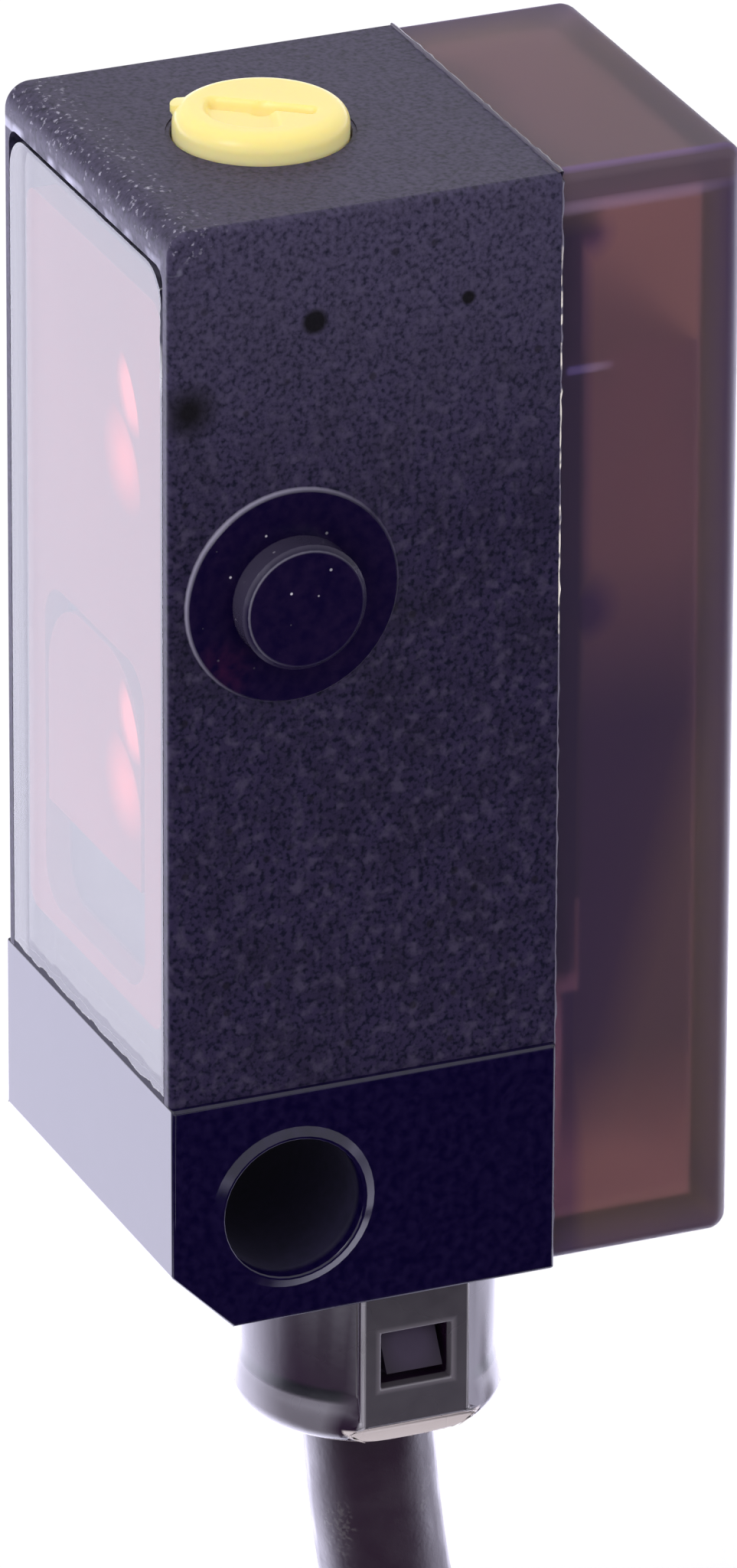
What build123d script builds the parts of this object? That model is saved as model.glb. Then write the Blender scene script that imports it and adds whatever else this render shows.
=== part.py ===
"""Miniature reflective optical sensor with a rotary range adjuster and a short pigtail.

Millimetres. The front window looks along -Y, +Z is up and the pigtail leaves downwards.
The origin is on the axis of the mounting hole, halfway through the base block.
"""

import os
from math import cos, pi, radians, sin, tan

from build123d import *

os.makedirs("parts", exist_ok=True)

# Overall sizes
body_height = 27.0
body_depth = 9.45
cover_depth = 4.55
base_width = 10.2
base_height = 5.7
housing_width = 9.86
cover_width = 9.64
cover_lift = 0.05

# Mounting hole through the base block
hole_diameter = 3.4
hole_from_front = 2.95
hole_above_bottom = 2.8
hole_collar_diameter = 4.0
hole_collar_height = 0.1

# Housing shell
housing_wall = 0.9
housing_top_wall = 0.95
housing_front_round = 0.6
housing_edge_round = 0.15
cavity_corner_round = 0.9
base_chamfer = 1.5
base_edge_round = 0.12

# Locating boss above the mounting hole, one on each side
boss_above_hole = 15.1
boss_disc_diameter = 5.2
boss_disc_height = 0.12
boss_diameter = 3.0
boss_height = 0.88
boss_chamfer = 0.12

# Front window
window_width = 9.1
window_thickness = 0.5
window_top_gap = 0.1
window_side_gap = 0.03
window_corner_round = 0.9
rebate_corner_round = 0.4

# Red lens plate and the receiver lens in its opening
plate_width = 8.0
plate_height = 17.8
plate_thickness = 0.6
plate_above_base = 1.4
plate_corner_round = 0.5
opening_width = 6.0
opening_height = 8.0
opening_above_plate_bottom = 0.5
opening_corner_round = 1.0
receiver_lens_side_gap = 0.2
receiver_lens_height = 5.3
receiver_lens_top_gap = 0.15
receiver_lens_round = 2.0
lens_dome_radius = 2.2
lens_dome_height = 0.8
emitter_above_base = 15.5
receiver_above_base = 7.5

# Optics carrier
carrier_gap = 0.1
barrel_rear_radius = 1.3
barrel_depth = 6.6
recess_gap = 0.2

# Circuit board and what is soldered to it, with heights from the board's lower edge
board_side_gap = 0.12
board_thickness = 0.8
board_above_base = 0.9
board_top_gap = 0.2
board_chamfer = 0.4
emitter_package = (2.0, 1.1, 1.6)
emitter_lens_radius = 0.6
receiver_package = (3.0, 0.9, 2.8)
chip_package = (4.6, 0.9, 3.0)
chip_centre = (1.0, 9.5)
chip_lead = (0.3, 0.3, 0.6)
chip_lead_pitch = 1.0
chip_lead_count = 4
regulator_package = (2.4, 0.9, 1.4)
regulator_centre = (-2.2, 13.6)
small_package = (1.0, 0.5, 0.5)
capacitor_centres = ((2.4, 13.0), (2.4, 14.4), (0.4, 13.6), (-2.6, 6.0))
resistor_centres = ((-3.0, 11.0), (-3.0, 9.0), (0.4, 6.0), (2.6, 6.0))
indicator_package = (1.6, 0.7, 0.8)
indicator_offset = 2.6
indicator_below_top = 0.7
power_side = 1
output_side = -1

# Rear cover and the resin poured into it
cover_wall = 0.85
cover_rear_round = 0.5
cover_edge_round = 0.3
resin_gap = 0.03
resin_below_board_top = 3.75
resin_bottom_front = 2.2
resin_bottom_rear = 6.0
resin_depth = 2.7

# Range adjuster: a potentiometer under the top wall and its knob
adjuster_from_front = 4.25
knob_diameter = 4.0
knob_height = 0.62
knob_hole_gap = 0.15
knob_top_round = 0.36
knob_underside_gap = 0.4
spindle_diameter = 1.6
spindle_length = 1.5
spindle_gap = 0.05
pointer_angle = 233.0
pointer_radius = 0.24
pointer_height = 0.22
pointer_below_top = 0.1
slot_length = 3.0
slot_width = 0.34
slot_depth = 0.26
pocket_radius = 1.3
pocket_depth = 0.13
pocket_angle = 112.0
potentiometer_width = 4.4
potentiometer_height = 2.2
terminal_diameter = 0.4
terminal_pitch = 1.3
terminal_above_floor = 0.7
seal_inner_radius = 1.2
seal_width = 0.4
seal_thickness = 0.3

# Cable gland, the moulded boot inside it and the cores that leave the boot
gland_from_front = 6.95
gland_neck_radius = 2.965
gland_crease_radius = 3.06
gland_lip_radius = 3.15
gland_neck_length = 3.6
gland_crease_depth = 4.05
gland_lip_depth = 4.45
gland_round_radius = 3.02
gland_round_depth = 4.76
gland_length = 4.95
gland_foot_radius = 2.6
gland_bore_radius = 2.2
pad_face = 2.9
pad_width = 2.7
pad_length = 4.65
pad_chamfer = 0.25
pad_side_round = 0.1
latch_window_width = 1.75
latch_window_height = 1.4
latch_window_depth = 2.75
latch_side_gap = 0.18
latch_foot_gap = 0.3
latch_reach = 2.8
boot_gap = 0.05
cable_seat_gap = 0.02
spigot_radius = 1.8
spigot_top_gap = 0.2
spigot_flat = 1.25
core_diameter = 0.84
core_pitch = 0.87
core_slot_width = 3.6
core_slot_depth = 2.8
core_run_depth = 1.0
core_board_gap = 0.02
core_bend_radius = 1.0
core_pad_height = 2.2
core_names = ("brown", "black", "blue")

# Pigtail: a cable 150 mm long, laid in one loose turn on the surface below
cable_diameter = 3.05
cable_start = (0.0, 3.92, -6.95)
cable_descent = (
    (0.0, 4.25, -13.9),
    (0.0, 7.1, -19.6),
    (0.0, 12.2, -24.0),
    (0.0, 18.6, -26.2),
)
turn_radius = 16.0
turn_growth = 6.4
turn_points = 12
turn_lead = 8.5
turn_rise = (0.3, 1.5)
last_run = 10.6
radius_share = 0.45

# Plug on the end of the pigtail, for a threaded round coupling of 8 mm
plug_neck_radius = 2.2
plug_neck_length = 6.0
plug_neck_groove_start = 1.0
plug_neck_groove_depth = 0.4
plug_neck_groove_width = 0.7
plug_neck_groove_pitch = 1.5
plug_neck_groove_count = 3
plug_neck_flare = 0.5
plug_grip_radius = 4.4
plug_grip_taper = 2.5
plug_grip_length = 12.0
plug_grip_flat = 3.9
plug_flat_length = 8.0
plug_flat_from_end = 1.0
plug_ring_radius = 4.5
plug_ring_length = 1.8
plug_thread_radius = 4.0
plug_thread_length = 7.2
plug_thread_chamfer = 0.5
plug_bore_radius = 3.25
plug_bore_depth = 5.5
plug_insert_length = 1.4
plug_key_width = 1.2
plug_key_height = 0.5
plug_pin_radius = 0.5
plug_pin_length = 3.6
plug_pin_seat = 0.8
plug_pin_tip = 0.25
plug_key_short = 0.6
plug_pin_places = ((-1.25, -0.7), (1.25, -0.7), (0.0, 1.4))

# Places that follow from the sizes above
front_y = -hole_from_front
seam_y = front_y + body_depth
bottom_z = -hole_above_bottom
shoulder_z = bottom_z + base_height
top_z = bottom_z + body_height
ceiling_z = top_z - housing_top_wall
cavity_width = housing_width - 2 * housing_wall
window_rear_y = front_y + window_thickness
plate_front_y = window_rear_y + 0.02
plate_rear_y = plate_front_y + plate_thickness
plate_bottom_z = shoulder_z + plate_above_base
opening_bottom_z = plate_bottom_z + opening_above_plate_bottom
opening_top_z = opening_bottom_z + opening_height
emitter_z = shoulder_z + emitter_above_base
receiver_z = shoulder_z + receiver_above_base
lens_curve_radius = (lens_dome_radius**2 + lens_dome_height**2) / (2 * lens_dome_height)
board_front_y = seam_y + 0.05
board_rear_y = board_front_y + board_thickness
board_width = cover_width - 2 * (cover_wall + board_side_gap)
board_bottom_z = shoulder_z + board_above_base
board_top_z = top_z - cover_wall - board_top_gap
adjuster_y = front_y + adjuster_from_front
potentiometer_floor_z = ceiling_z - potentiometer_height
gland_y = front_y + gland_from_front
cable_exit_plane = Plane(
    origin=cable_start, z_dir=(Vector(*cable_descent[0]) - Vector(*cable_start)).normalized()
)

FRONT_LOW = (Align.CENTER, Align.MIN, Align.MIN)
REAR_FIRST = (Align.CENTER, Align.MAX, Align.CENTER)
FRONT_FIRST = (Align.CENTER, Align.MIN, Align.CENTER)


def plane_at_y(y):
    """A plane that faces the front, with X to the right and Z up."""
    return Plane.XZ.offset(-y)


def finish(part, name):
    part.label = name
    export_step(part, f"parts/{name}.step")
    return part


# Housing: a moulded shell, open at the front, the rear and the bottom
with BuildPart() as housing:
    with Locations((0, front_y, shoulder_z)):
        Box(housing_width, body_depth, top_z - shoulder_z, align=FRONT_LOW)
    front_top = housing.edges().filter_by(Axis.X).group_by(Axis.Z)[-1].sort_by(Axis.Y)[0]
    fillet(front_top, radius=housing_front_round)
    corner_edges = [
        edge
        for face in housing.faces().filter_by(Axis.X)
        for edge in face.edges()
        if edge.center().Y < seam_y - 0.01 and edge.center().Z > shoulder_z + 0.01
    ]
    fillet(corner_edges, radius=housing_edge_round)
    # cavity from the window to the rear rim
    with BuildSketch(plane_at_y(front_y)):
        with Locations((0, shoulder_z)):
            Rectangle(cavity_width, ceiling_z - shoulder_z, align=(Align.CENTER, Align.MIN))
        cavity_top = vertices().group_by(Axis.Y)[-1]
        fillet(cavity_top, radius=cavity_corner_round)
    extrude(amount=-body_depth, mode=Mode.SUBTRACT)
    # rebate that the window drops into
    with BuildSketch(plane_at_y(front_y)):
        with Locations((0, shoulder_z)):
            Rectangle(
                window_width + 2 * window_side_gap,
                ceiling_z - shoulder_z,
                align=(Align.CENTER, Align.MIN),
            )
        rebate_top = vertices().group_by(Axis.Y)[-1]
        fillet(rebate_top, radius=rebate_corner_round)
    extrude(amount=-window_thickness, mode=Mode.SUBTRACT)
    # hole for the adjuster knob
    with BuildSketch(Plane.XY.offset(ceiling_z)):
        with Locations((0, adjuster_y)):
            Circle(knob_diameter / 2 + knob_hole_gap)
    extrude(amount=housing_top_wall, mode=Mode.SUBTRACT)
    # low disc and locating boss on each side
    for side in (1, -1):
        with BuildSketch(Plane.YZ.offset(side * housing_width / 2)):
            with Locations((0, boss_above_hole)):
                Circle(boss_disc_diameter / 2)
        extrude(amount=side * boss_disc_height, taper=40)
        with BuildSketch(Plane.YZ.offset(side * (housing_width / 2 - housing_wall / 2))):
            with Locations((0, boss_above_hole)):
                Circle(boss_diameter / 2)
        extrude(amount=side * (boss_height + housing_wall / 2))
    rims = housing.edges().filter_by(GeomType.CIRCLE).group_by(Axis.X)
    chamfer(rims[0] + rims[-1], length=boss_chamfer)
finish(housing.part, "housing")

# Base block: smooth, a little wider than the housing, with the mounting hole across it
with BuildPart() as base_block:
    with Locations((0, front_y, bottom_z)):
        Box(base_width, body_depth, base_height, align=FRONT_LOW)
    toe = base_block.edges().filter_by(Axis.X).group_by(Axis.Z)[0].sort_by(Axis.Y)[0]
    chamfer(toe, length=base_chamfer)
    side_edges = [edge for face in base_block.faces().filter_by(Axis.X) for edge in face.edges()]
    fillet(side_edges, radius=base_edge_round)
    for side in (1, -1):
        with BuildSketch(Plane.YZ.offset(side * base_width / 2)):
            Circle(hole_collar_diameter / 2)
        extrude(amount=side * hole_collar_height, taper=65)
    with BuildSketch(Plane.YZ):
        Circle(hole_diameter / 2)
    extrude(amount=base_width / 2 + hole_collar_height, both=True, mode=Mode.SUBTRACT)
    # socket for the boot and the slot that its cores take to the rear
    with BuildSketch(Plane.XY.offset(bottom_z)):
        with Locations((0, gland_y)):
            Circle(spigot_radius + boot_gap)
    extrude(amount=base_height, mode=Mode.SUBTRACT)
    with Locations((0, gland_y, shoulder_z - core_slot_depth)):
        Box(core_slot_width, body_depth, core_slot_depth, align=FRONT_LOW, mode=Mode.SUBTRACT)
finish(base_block.part, "base_block")

# Rear cover: a see-through shell glued to the rear rim of the housing and base
with BuildPart() as rear_cover:
    with Locations((0, seam_y, bottom_z + cover_lift)):
        Box(cover_width, cover_depth, body_height - cover_lift, align=FRONT_LOW)
    fillet(rear_cover.faces().sort_by(Axis.Y)[-1].edges(), radius=cover_rear_round)
    long_edges = rear_cover.edges().filter_by(Axis.Y)
    fillet(long_edges, radius=cover_edge_round)
    offset(amount=-cover_wall, openings=rear_cover.faces().sort_by(Axis.Y)[0])
finish(rear_cover.part, "rear_cover")

# Front window: a clear plate flush with the housing
with BuildPart() as front_window:
    with BuildSketch(plane_at_y(front_y)):
        with Locations((0, shoulder_z)):
            Rectangle(
                window_width,
                ceiling_z - window_top_gap - shoulder_z,
                align=(Align.CENTER, Align.MIN),
            )
        window_top = vertices().group_by(Axis.Y)[-1]
        fillet(window_top, radius=window_corner_round)
    extrude(amount=-window_thickness)
finish(front_window.part, "front_window")

# Lens plate: red plastic with the emitter lens on its back and an opening for the receiver
with BuildPart() as lens_plate:
    with BuildSketch(plane_at_y(plate_front_y)):
        with Locations((0, plate_bottom_z)):
            RectangleRounded(
                plate_width, plate_height, plate_corner_round, align=(Align.CENTER, Align.MIN)
            )
        with Locations((0, opening_bottom_z)):
            RectangleRounded(
                opening_width,
                opening_height,
                opening_corner_round,
                align=(Align.CENTER, Align.MIN),
                mode=Mode.SUBTRACT,
            )
    extrude(amount=-plate_thickness)
    with BuildSketch(Plane.YZ):
        with BuildLine():
            RadiusArc(
                (plate_rear_y, emitter_z + lens_dome_radius),
                (plate_rear_y + lens_dome_height, emitter_z),
                lens_curve_radius,
            )
            Polyline(
                (plate_rear_y, emitter_z + lens_dome_radius),
                (plate_rear_y, emitter_z),
                (plate_rear_y + lens_dome_height, emitter_z),
            )
        make_face()
    revolve(axis=Axis((0, 0, emitter_z), (0, 1, 0)))
finish(lens_plate.part, "lens_plate")

# Receiver lens: its own red lens with an arched top, seated in the opening
receiver_lens_top_z = opening_top_z - receiver_lens_top_gap
with BuildPart() as receiver_lens:
    with BuildSketch(plane_at_y(plate_front_y)):
        with Locations((0, receiver_lens_top_z)):
            Rectangle(
                opening_width - 2 * receiver_lens_side_gap,
                receiver_lens_height,
                align=(Align.CENTER, Align.MAX),
            )
        arch = vertices().group_by(Axis.Y)[-1]
        fillet(arch, radius=receiver_lens_round)
    extrude(amount=-plate_thickness)
    with BuildSketch(Plane.YZ):
        with BuildLine():
            RadiusArc(
                (plate_rear_y, receiver_z + lens_dome_radius),
                (plate_rear_y + lens_dome_height, receiver_z),
                lens_curve_radius,
            )
            Polyline(
                (plate_rear_y, receiver_z + lens_dome_radius),
                (plate_rear_y, receiver_z),
                (plate_rear_y + lens_dome_height, receiver_z),
            )
        make_face()
    revolve(axis=Axis((0, 0, receiver_z), (0, 1, 0)))
finish(receiver_lens.part, "receiver_lens")

# Optics carrier: the black block that holds both lenses and keeps their light apart
carrier_top_z = potentiometer_floor_z - 0.05
with BuildPart() as optics_carrier:
    with Locations((0, plate_rear_y, shoulder_z)):
        Box(
            cavity_width - 2 * carrier_gap,
            board_front_y - plate_rear_y,
            carrier_top_z - shoulder_z,
            align=FRONT_LOW,
        )
    for centre_z in (emitter_z, receiver_z):
        with BuildSketch(Plane.YZ):
            with BuildLine():
                Polyline(
                    (plate_rear_y, centre_z),
                    (plate_rear_y, centre_z + lens_dome_radius),
                    (plate_rear_y + barrel_depth, centre_z + barrel_rear_radius),
                    (plate_rear_y + barrel_depth, centre_z),
                    close=True,
                )
            make_face()
        revolve(axis=Axis((0, 0, centre_z), (0, 1, 0)), mode=Mode.SUBTRACT)
        with Locations((0, board_front_y, centre_z)):
            Box(
                receiver_package[0] + 2 * recess_gap,
                board_front_y - plate_rear_y - barrel_depth,
                receiver_package[2] + 2 * recess_gap,
                align=REAR_FIRST,
                mode=Mode.SUBTRACT,
            )
finish(optics_carrier.part, "optics_carrier")

# Circuit board, seated on the back of the carrier
with BuildPart() as circuit_board:
    with Locations((0, board_front_y, board_bottom_z)):
        Box(board_width, board_thickness, board_top_z - board_bottom_z, align=FRONT_LOW)
    chamfer(circuit_board.edges().filter_by(Axis.Y), length=board_chamfer)
finish(circuit_board.part, "circuit_board")

# Emitter: a light source with a small dome, on the front of the board
with BuildPart() as emitter_led:
    with Locations((0, board_front_y, emitter_z)):
        Box(*emitter_package, align=REAR_FIRST)
    with Locations((0, board_front_y - emitter_package[1], emitter_z)):
        Sphere(emitter_lens_radius)
finish(emitter_led.part, "emitter_led")

# Receiver: a light-sensing chip, on the front of the board
with BuildPart() as receiver_chip:
    with Locations((0, board_front_y, receiver_z)):
        Box(*receiver_package, align=REAR_FIRST)
    chamfer(receiver_chip.faces().sort_by(Axis.Y)[0].edges(), length=0.15)
finish(receiver_chip.part, "receiver_chip")

# Control chip with its leads, on the rear of the board
with BuildPart() as control_chip:
    with Locations((chip_centre[0], board_rear_y, board_bottom_z + chip_centre[1])):
        Box(*chip_package, align=FRONT_FIRST)
    chamfer(control_chip.faces().sort_by(Axis.Y)[-1].edges(), length=0.12)
    for side in (1, -1):
        lead_z = board_bottom_z + chip_centre[1] + side * (chip_package[2] + chip_lead[2]) / 2
        with Locations((chip_centre[0], board_rear_y, lead_z)):
            with GridLocations(chip_lead_pitch, 0, chip_lead_count, 1):
                Box(*chip_lead, align=FRONT_FIRST)
finish(control_chip.part, "control_chip")

# Voltage regulator beside it
with BuildPart() as regulator:
    with Locations((regulator_centre[0], board_rear_y, board_bottom_z + regulator_centre[1])):
        Box(*regulator_package, align=FRONT_FIRST)
    chamfer(regulator.faces().sort_by(Axis.Y)[-1].edges(), length=0.1)
finish(regulator.part, "regulator")

# Small capacitors and resistors, each group in one node
with BuildPart() as capacitors:
    with Locations(*[(x, board_rear_y, board_bottom_z + z) for x, z in capacitor_centres]):
        Box(*small_package, align=FRONT_FIRST)
finish(capacitors.part, "capacitors")

with BuildPart() as resistors:
    with Locations(*[(x, board_rear_y, board_bottom_z + z) for x, z in resistor_centres]):
        Box(*small_package, align=FRONT_FIRST)
finish(resistors.part, "resistors")

# Indicator lights at the top of the board, seen through the cover
for name, side in (("power_indicator", power_side), ("output_indicator", output_side)):
    with BuildPart() as indicator:
        with Locations((side * indicator_offset, board_rear_y, board_top_z - indicator_below_top)):
            Box(*indicator_package, align=FRONT_FIRST)
        chamfer(indicator.faces().sort_by(Axis.Y)[-1].edges(), length=0.15)
    finish(indicator.part, name)

# Resin poured into the cover over the middle of the board
resin_front_y = board_rear_y + resin_gap
resin_rear_y = resin_front_y + resin_depth
resin_top_z = board_top_z - resin_below_board_top
with BuildPart() as resin:
    with BuildSketch(Plane.YZ):
        with BuildLine():
            Polyline(
                (resin_front_y, board_bottom_z + resin_bottom_front),
                (resin_rear_y, board_bottom_z + resin_bottom_rear),
                (resin_rear_y, resin_top_z),
                (resin_front_y, resin_top_z),
                close=True,
            )
        make_face()
    extrude(amount=cover_width / 2 - cover_wall - resin_gap, both=True)
    covered = [
        (chip_centre, chip_package, 2 * chip_lead[2]),
        (regulator_centre, regulator_package, 0),
    ]
    covered += [(centre, small_package, 0) for centre in capacitor_centres + resistor_centres]
    for (x, z), (wide, deep, high), leads in covered:
        with Locations((x, board_rear_y, board_bottom_z + z)):
            Box(
                wide + 2 * resin_gap,
                deep + resin_gap,
                high + leads + 2 * resin_gap,
                align=FRONT_FIRST,
                mode=Mode.SUBTRACT,
            )
finish(resin.part, "resin")

# Potentiometer under the top wall, with a bore for the knob's spindle
with BuildPart() as potentiometer:
    with Locations((0, adjuster_y, potentiometer_floor_z)):
        Box(
            potentiometer_width,
            potentiometer_width,
            potentiometer_height,
            align=(Align.CENTER, Align.CENTER, Align.MIN),
        )
    chamfer(potentiometer.edges().filter_by(Axis.Z), length=0.4)
    with BuildSketch(Plane.XY.offset(ceiling_z)):
        with Locations((0, adjuster_y)):
            Circle(spindle_diameter / 2 + spindle_gap)
    extrude(amount=-(spindle_length + 0.1), mode=Mode.SUBTRACT)
finish(potentiometer.part, "potentiometer")

# Its three terminals, which reach back to the board
terminal_start_y = adjuster_y + potentiometer_width / 2
with BuildPart() as potentiometer_terminals:
    with BuildSketch(plane_at_y(terminal_start_y)):
        with Locations((0, potentiometer_floor_z + terminal_above_floor)):
            with GridLocations(terminal_pitch, 0, 3, 1):
                Circle(terminal_diameter / 2)
    extrude(amount=-(board_front_y - terminal_start_y))
finish(potentiometer_terminals.part, "potentiometer_terminals")

# Sealing ring in the knob's hole, on top of the potentiometer
with BuildPart() as seal_ring:
    with BuildSketch(Plane.XY.offset(ceiling_z)):
        with Locations((0, adjuster_y)):
            Circle(seal_inner_radius + seal_width)
            Circle(seal_inner_radius, mode=Mode.SUBTRACT)
    extrude(amount=seal_thickness)
finish(seal_ring.part, "seal_ring")

# Adjuster knob: a yellow cap with a screwdriver slot, a pointer nub and a spindle
knob_top_z = top_z + knob_height
knob_foot_z = ceiling_z + knob_underside_gap
slot_angle = pointer_angle - 180
with BuildPart() as adjuster_knob:
    with Locations((0, adjuster_y, knob_foot_z)):
        Cylinder(
            knob_diameter / 2,
            knob_top_z - knob_foot_z,
            align=(Align.CENTER, Align.CENTER, Align.MIN),
        )
    fillet(adjuster_knob.edges().group_by(Axis.Z)[-1], radius=knob_top_round)
    with Locations((0, adjuster_y, ceiling_z - spindle_length)):
        Cylinder(
            spindle_diameter / 2,
            spindle_length + knob_underside_gap,
            align=(Align.CENTER, Align.CENTER, Align.MIN),
        )
    pointer_x = (knob_diameter / 2 - pointer_radius / 2) * cos(radians(pointer_angle))
    pointer_y = adjuster_y + (knob_diameter / 2 - pointer_radius / 2) * sin(radians(pointer_angle))
    with Locations((pointer_x, pointer_y, knob_top_z - pointer_below_top)):
        Cylinder(
            pointer_radius, pointer_height, align=(Align.CENTER, Align.CENTER, Align.MAX)
        )
    with BuildSketch(Plane.XY.offset(knob_top_z)):
        with Locations(Location((0, adjuster_y, 0), (0, 0, slot_angle))):
            SlotOverall(slot_length, slot_width)
    extrude(amount=-slot_depth, mode=Mode.SUBTRACT)
    with BuildSketch(Plane.XY.offset(knob_top_z)):
        with BuildLine():
            pocket = CenterArc(
                (0, adjuster_y), pocket_radius, pointer_angle, pocket_angle
            )
            Line((0, adjuster_y), pocket @ 0)
            Line(pocket @ 1, (0, adjuster_y))
        make_face()
    extrude(amount=-pocket_depth, mode=Mode.SUBTRACT)
finish(adjuster_knob.part, "adjuster_knob")

# Cable gland: a collar with a flared lip and a flat pad with a latch window
with BuildPart() as cable_gland:
    with BuildSketch(plane_at_y(gland_y)):
        with BuildLine():
            Polyline(
                (0, bottom_z),
                (gland_neck_radius, bottom_z),
                (gland_neck_radius, bottom_z - gland_neck_length),
                (gland_crease_radius, bottom_z - gland_crease_depth),
                (gland_lip_radius, bottom_z - gland_lip_depth),
            )
            ThreePointArc(
                (gland_lip_radius, bottom_z - gland_lip_depth),
                (gland_round_radius, bottom_z - gland_round_depth),
                (gland_foot_radius, bottom_z - gland_length),
            )
            Polyline(
                (gland_foot_radius, bottom_z - gland_length),
                (0, bottom_z - gland_length),
                (0, bottom_z),
            )
        make_face()
    revolve(axis=Axis((0, gland_y, 0), (0, 0, 1)))
    with BuildSketch(Plane.XY.offset(bottom_z)):
        with Locations((0, gland_y)):
            RectangleRounded(
                pad_face, pad_width, pad_side_round, align=(Align.MIN, Align.CENTER)
            )
    extrude(amount=-pad_length)
    # the flat cut across the collar and its lip, bevelled at the foot
    with BuildSketch(plane_at_y(gland_y)):
        with BuildLine():
            Polyline(
                (pad_face, bottom_z),
                (pad_face, bottom_z - pad_length + pad_chamfer),
                (pad_face - pad_chamfer, bottom_z - pad_length),
                (pad_face - pad_chamfer, bottom_z - gland_length),
                (2 * pad_face, bottom_z - gland_length),
                (2 * pad_face, bottom_z),
                close=True,
            )
        make_face()
    extrude(amount=pad_width, both=True, mode=Mode.SUBTRACT)
    with BuildSketch(Plane.XY.offset(bottom_z)):
        with Locations((0, gland_y)):
            Circle(gland_bore_radius)
    extrude(amount=-gland_length, mode=Mode.SUBTRACT)
    with Locations((pad_face, gland_y, bottom_z - latch_window_depth)):
        Box(
            2 * (pad_face - gland_bore_radius + 0.2),
            latch_window_width,
            latch_window_height,
            mode=Mode.SUBTRACT,
        )
finish(cable_gland.part, "cable_gland")

# Cable boot: moulded on the cable, with a spigot in the base and a nose in the latch window
boot_radius = gland_bore_radius - boot_gap
nose_top_z = bottom_z - latch_window_depth + latch_window_height / 2
nose_foot_z = bottom_z - latch_window_depth - latch_window_height / 2 + latch_foot_gap
nose_width = latch_window_width - 2 * latch_side_gap
with BuildPart() as cable_boot:
    with Locations((0, gland_y, bottom_z - gland_length)):
        Cylinder(boot_radius, gland_length, align=(Align.CENTER, Align.CENTER, Align.MIN))
    with Locations((0, gland_y, bottom_z)):
        Cylinder(
            spigot_radius,
            base_height - spigot_top_gap,
            align=(Align.CENTER, Align.CENTER, Align.MIN),
        )
    with Locations((0, gland_y + spigot_flat, shoulder_z - core_slot_depth)):
        Box(
            2 * spigot_radius,
            spigot_radius,
            core_slot_depth,
            align=FRONT_LOW,
            mode=Mode.SUBTRACT,
        )
    with BuildSketch(plane_at_y(gland_y)):
        with BuildLine():
            Polyline(
                (0, nose_top_z),
                (boot_radius, nose_top_z),
                (latch_reach, nose_foot_z),
                (0, nose_foot_z),
                close=True,
            )
        make_face()
    extrude(amount=nose_width / 2, both=True)
    # seat that the end of the cable goes up into
    with BuildSketch(cable_exit_plane):
        Circle(cable_diameter / 2 + cable_seat_gap)
    extrude(amount=gland_length, mode=Mode.SUBTRACT)
finish(cable_boot.part, "cable_boot")

# Cores: from the flat of the boot's spigot, under the board and up to its rear
core_run_y = board_rear_y + core_board_gap + core_diameter / 2
core_run_z = shoulder_z - core_run_depth
for index, name in enumerate(core_names):
    core_x = (index - 1) * core_pitch
    core_start = (core_x, gland_y + spigot_flat, core_run_z)
    with BuildPart() as core:
        with BuildLine():
            core_path = FilletPolyline(
                core_start,
                (core_x, core_run_y, core_run_z),
                (core_x, core_run_y, board_bottom_z + core_pad_height),
                radius=core_bend_radius,
            )
        with BuildSketch(Plane(origin=core_start, z_dir=(0, 1, 0))):
            Circle(core_diameter / 2)
        sweep(path=core_path)
    finish(core.part, f"core_{name}")

# Cable: the pigtail's route, down from the boot and round one loose turn
turn_y = cable_descent[-1][1] + turn_lead - turn_radius * tan(pi / turn_points)
plug_rise = plug_ring_radius - cable_diameter / 2
rises = (turn_points - len(turn_rise) - 1) * (0.0,) + turn_rise + (plug_rise,)
turn_route = []
for step, rise in enumerate(rises):
    angle = (step + 0.5) * 2 * pi / turn_points
    reach = (turn_radius + turn_growth * (step / (turn_points - 1)) ** 2) / cos(pi / turn_points)
    turn_route.append(
        (
            turn_radius - reach * cos(angle),
            turn_y + reach * sin(angle),
            cable_descent[-1][2] + rise,
        )
    )
last_corner = turn_route[-1]
cable_end = (last_corner[0], last_corner[1] + last_run, last_corner[2])
cable_route = [cable_start, *cable_descent, *turn_route, cable_end]
vectors = [Vector(*point) for point in cable_route]
runs = [vectors[i + 1] - vectors[i] for i in range(len(vectors) - 1)]
cable_radii = [
    radius_share * min(a.length, b.length) / tan(radians(a.get_angle(b)) / 2)
    for a, b in zip(runs, runs[1:])
]
print("cable radii", [round(radius, 1) for radius in cable_radii])
print("cable runs", [round(run.length, 1) for run in runs])
with BuildPart() as cable:
    with BuildLine():
        cable_path = FilletPolyline(*cable_route, radius=cable_radii)
    with BuildSketch(cable_exit_plane):
        Circle(cable_diameter / 2)
    sweep(path=cable_path)
section = pi * (cable_diameter / 2) ** 2
print("cable length", round(cable_path.length, 2))
print("cable volume against section times length", cable.part.volume, section * cable_path.length)
finish(cable.part, "cable")

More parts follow.
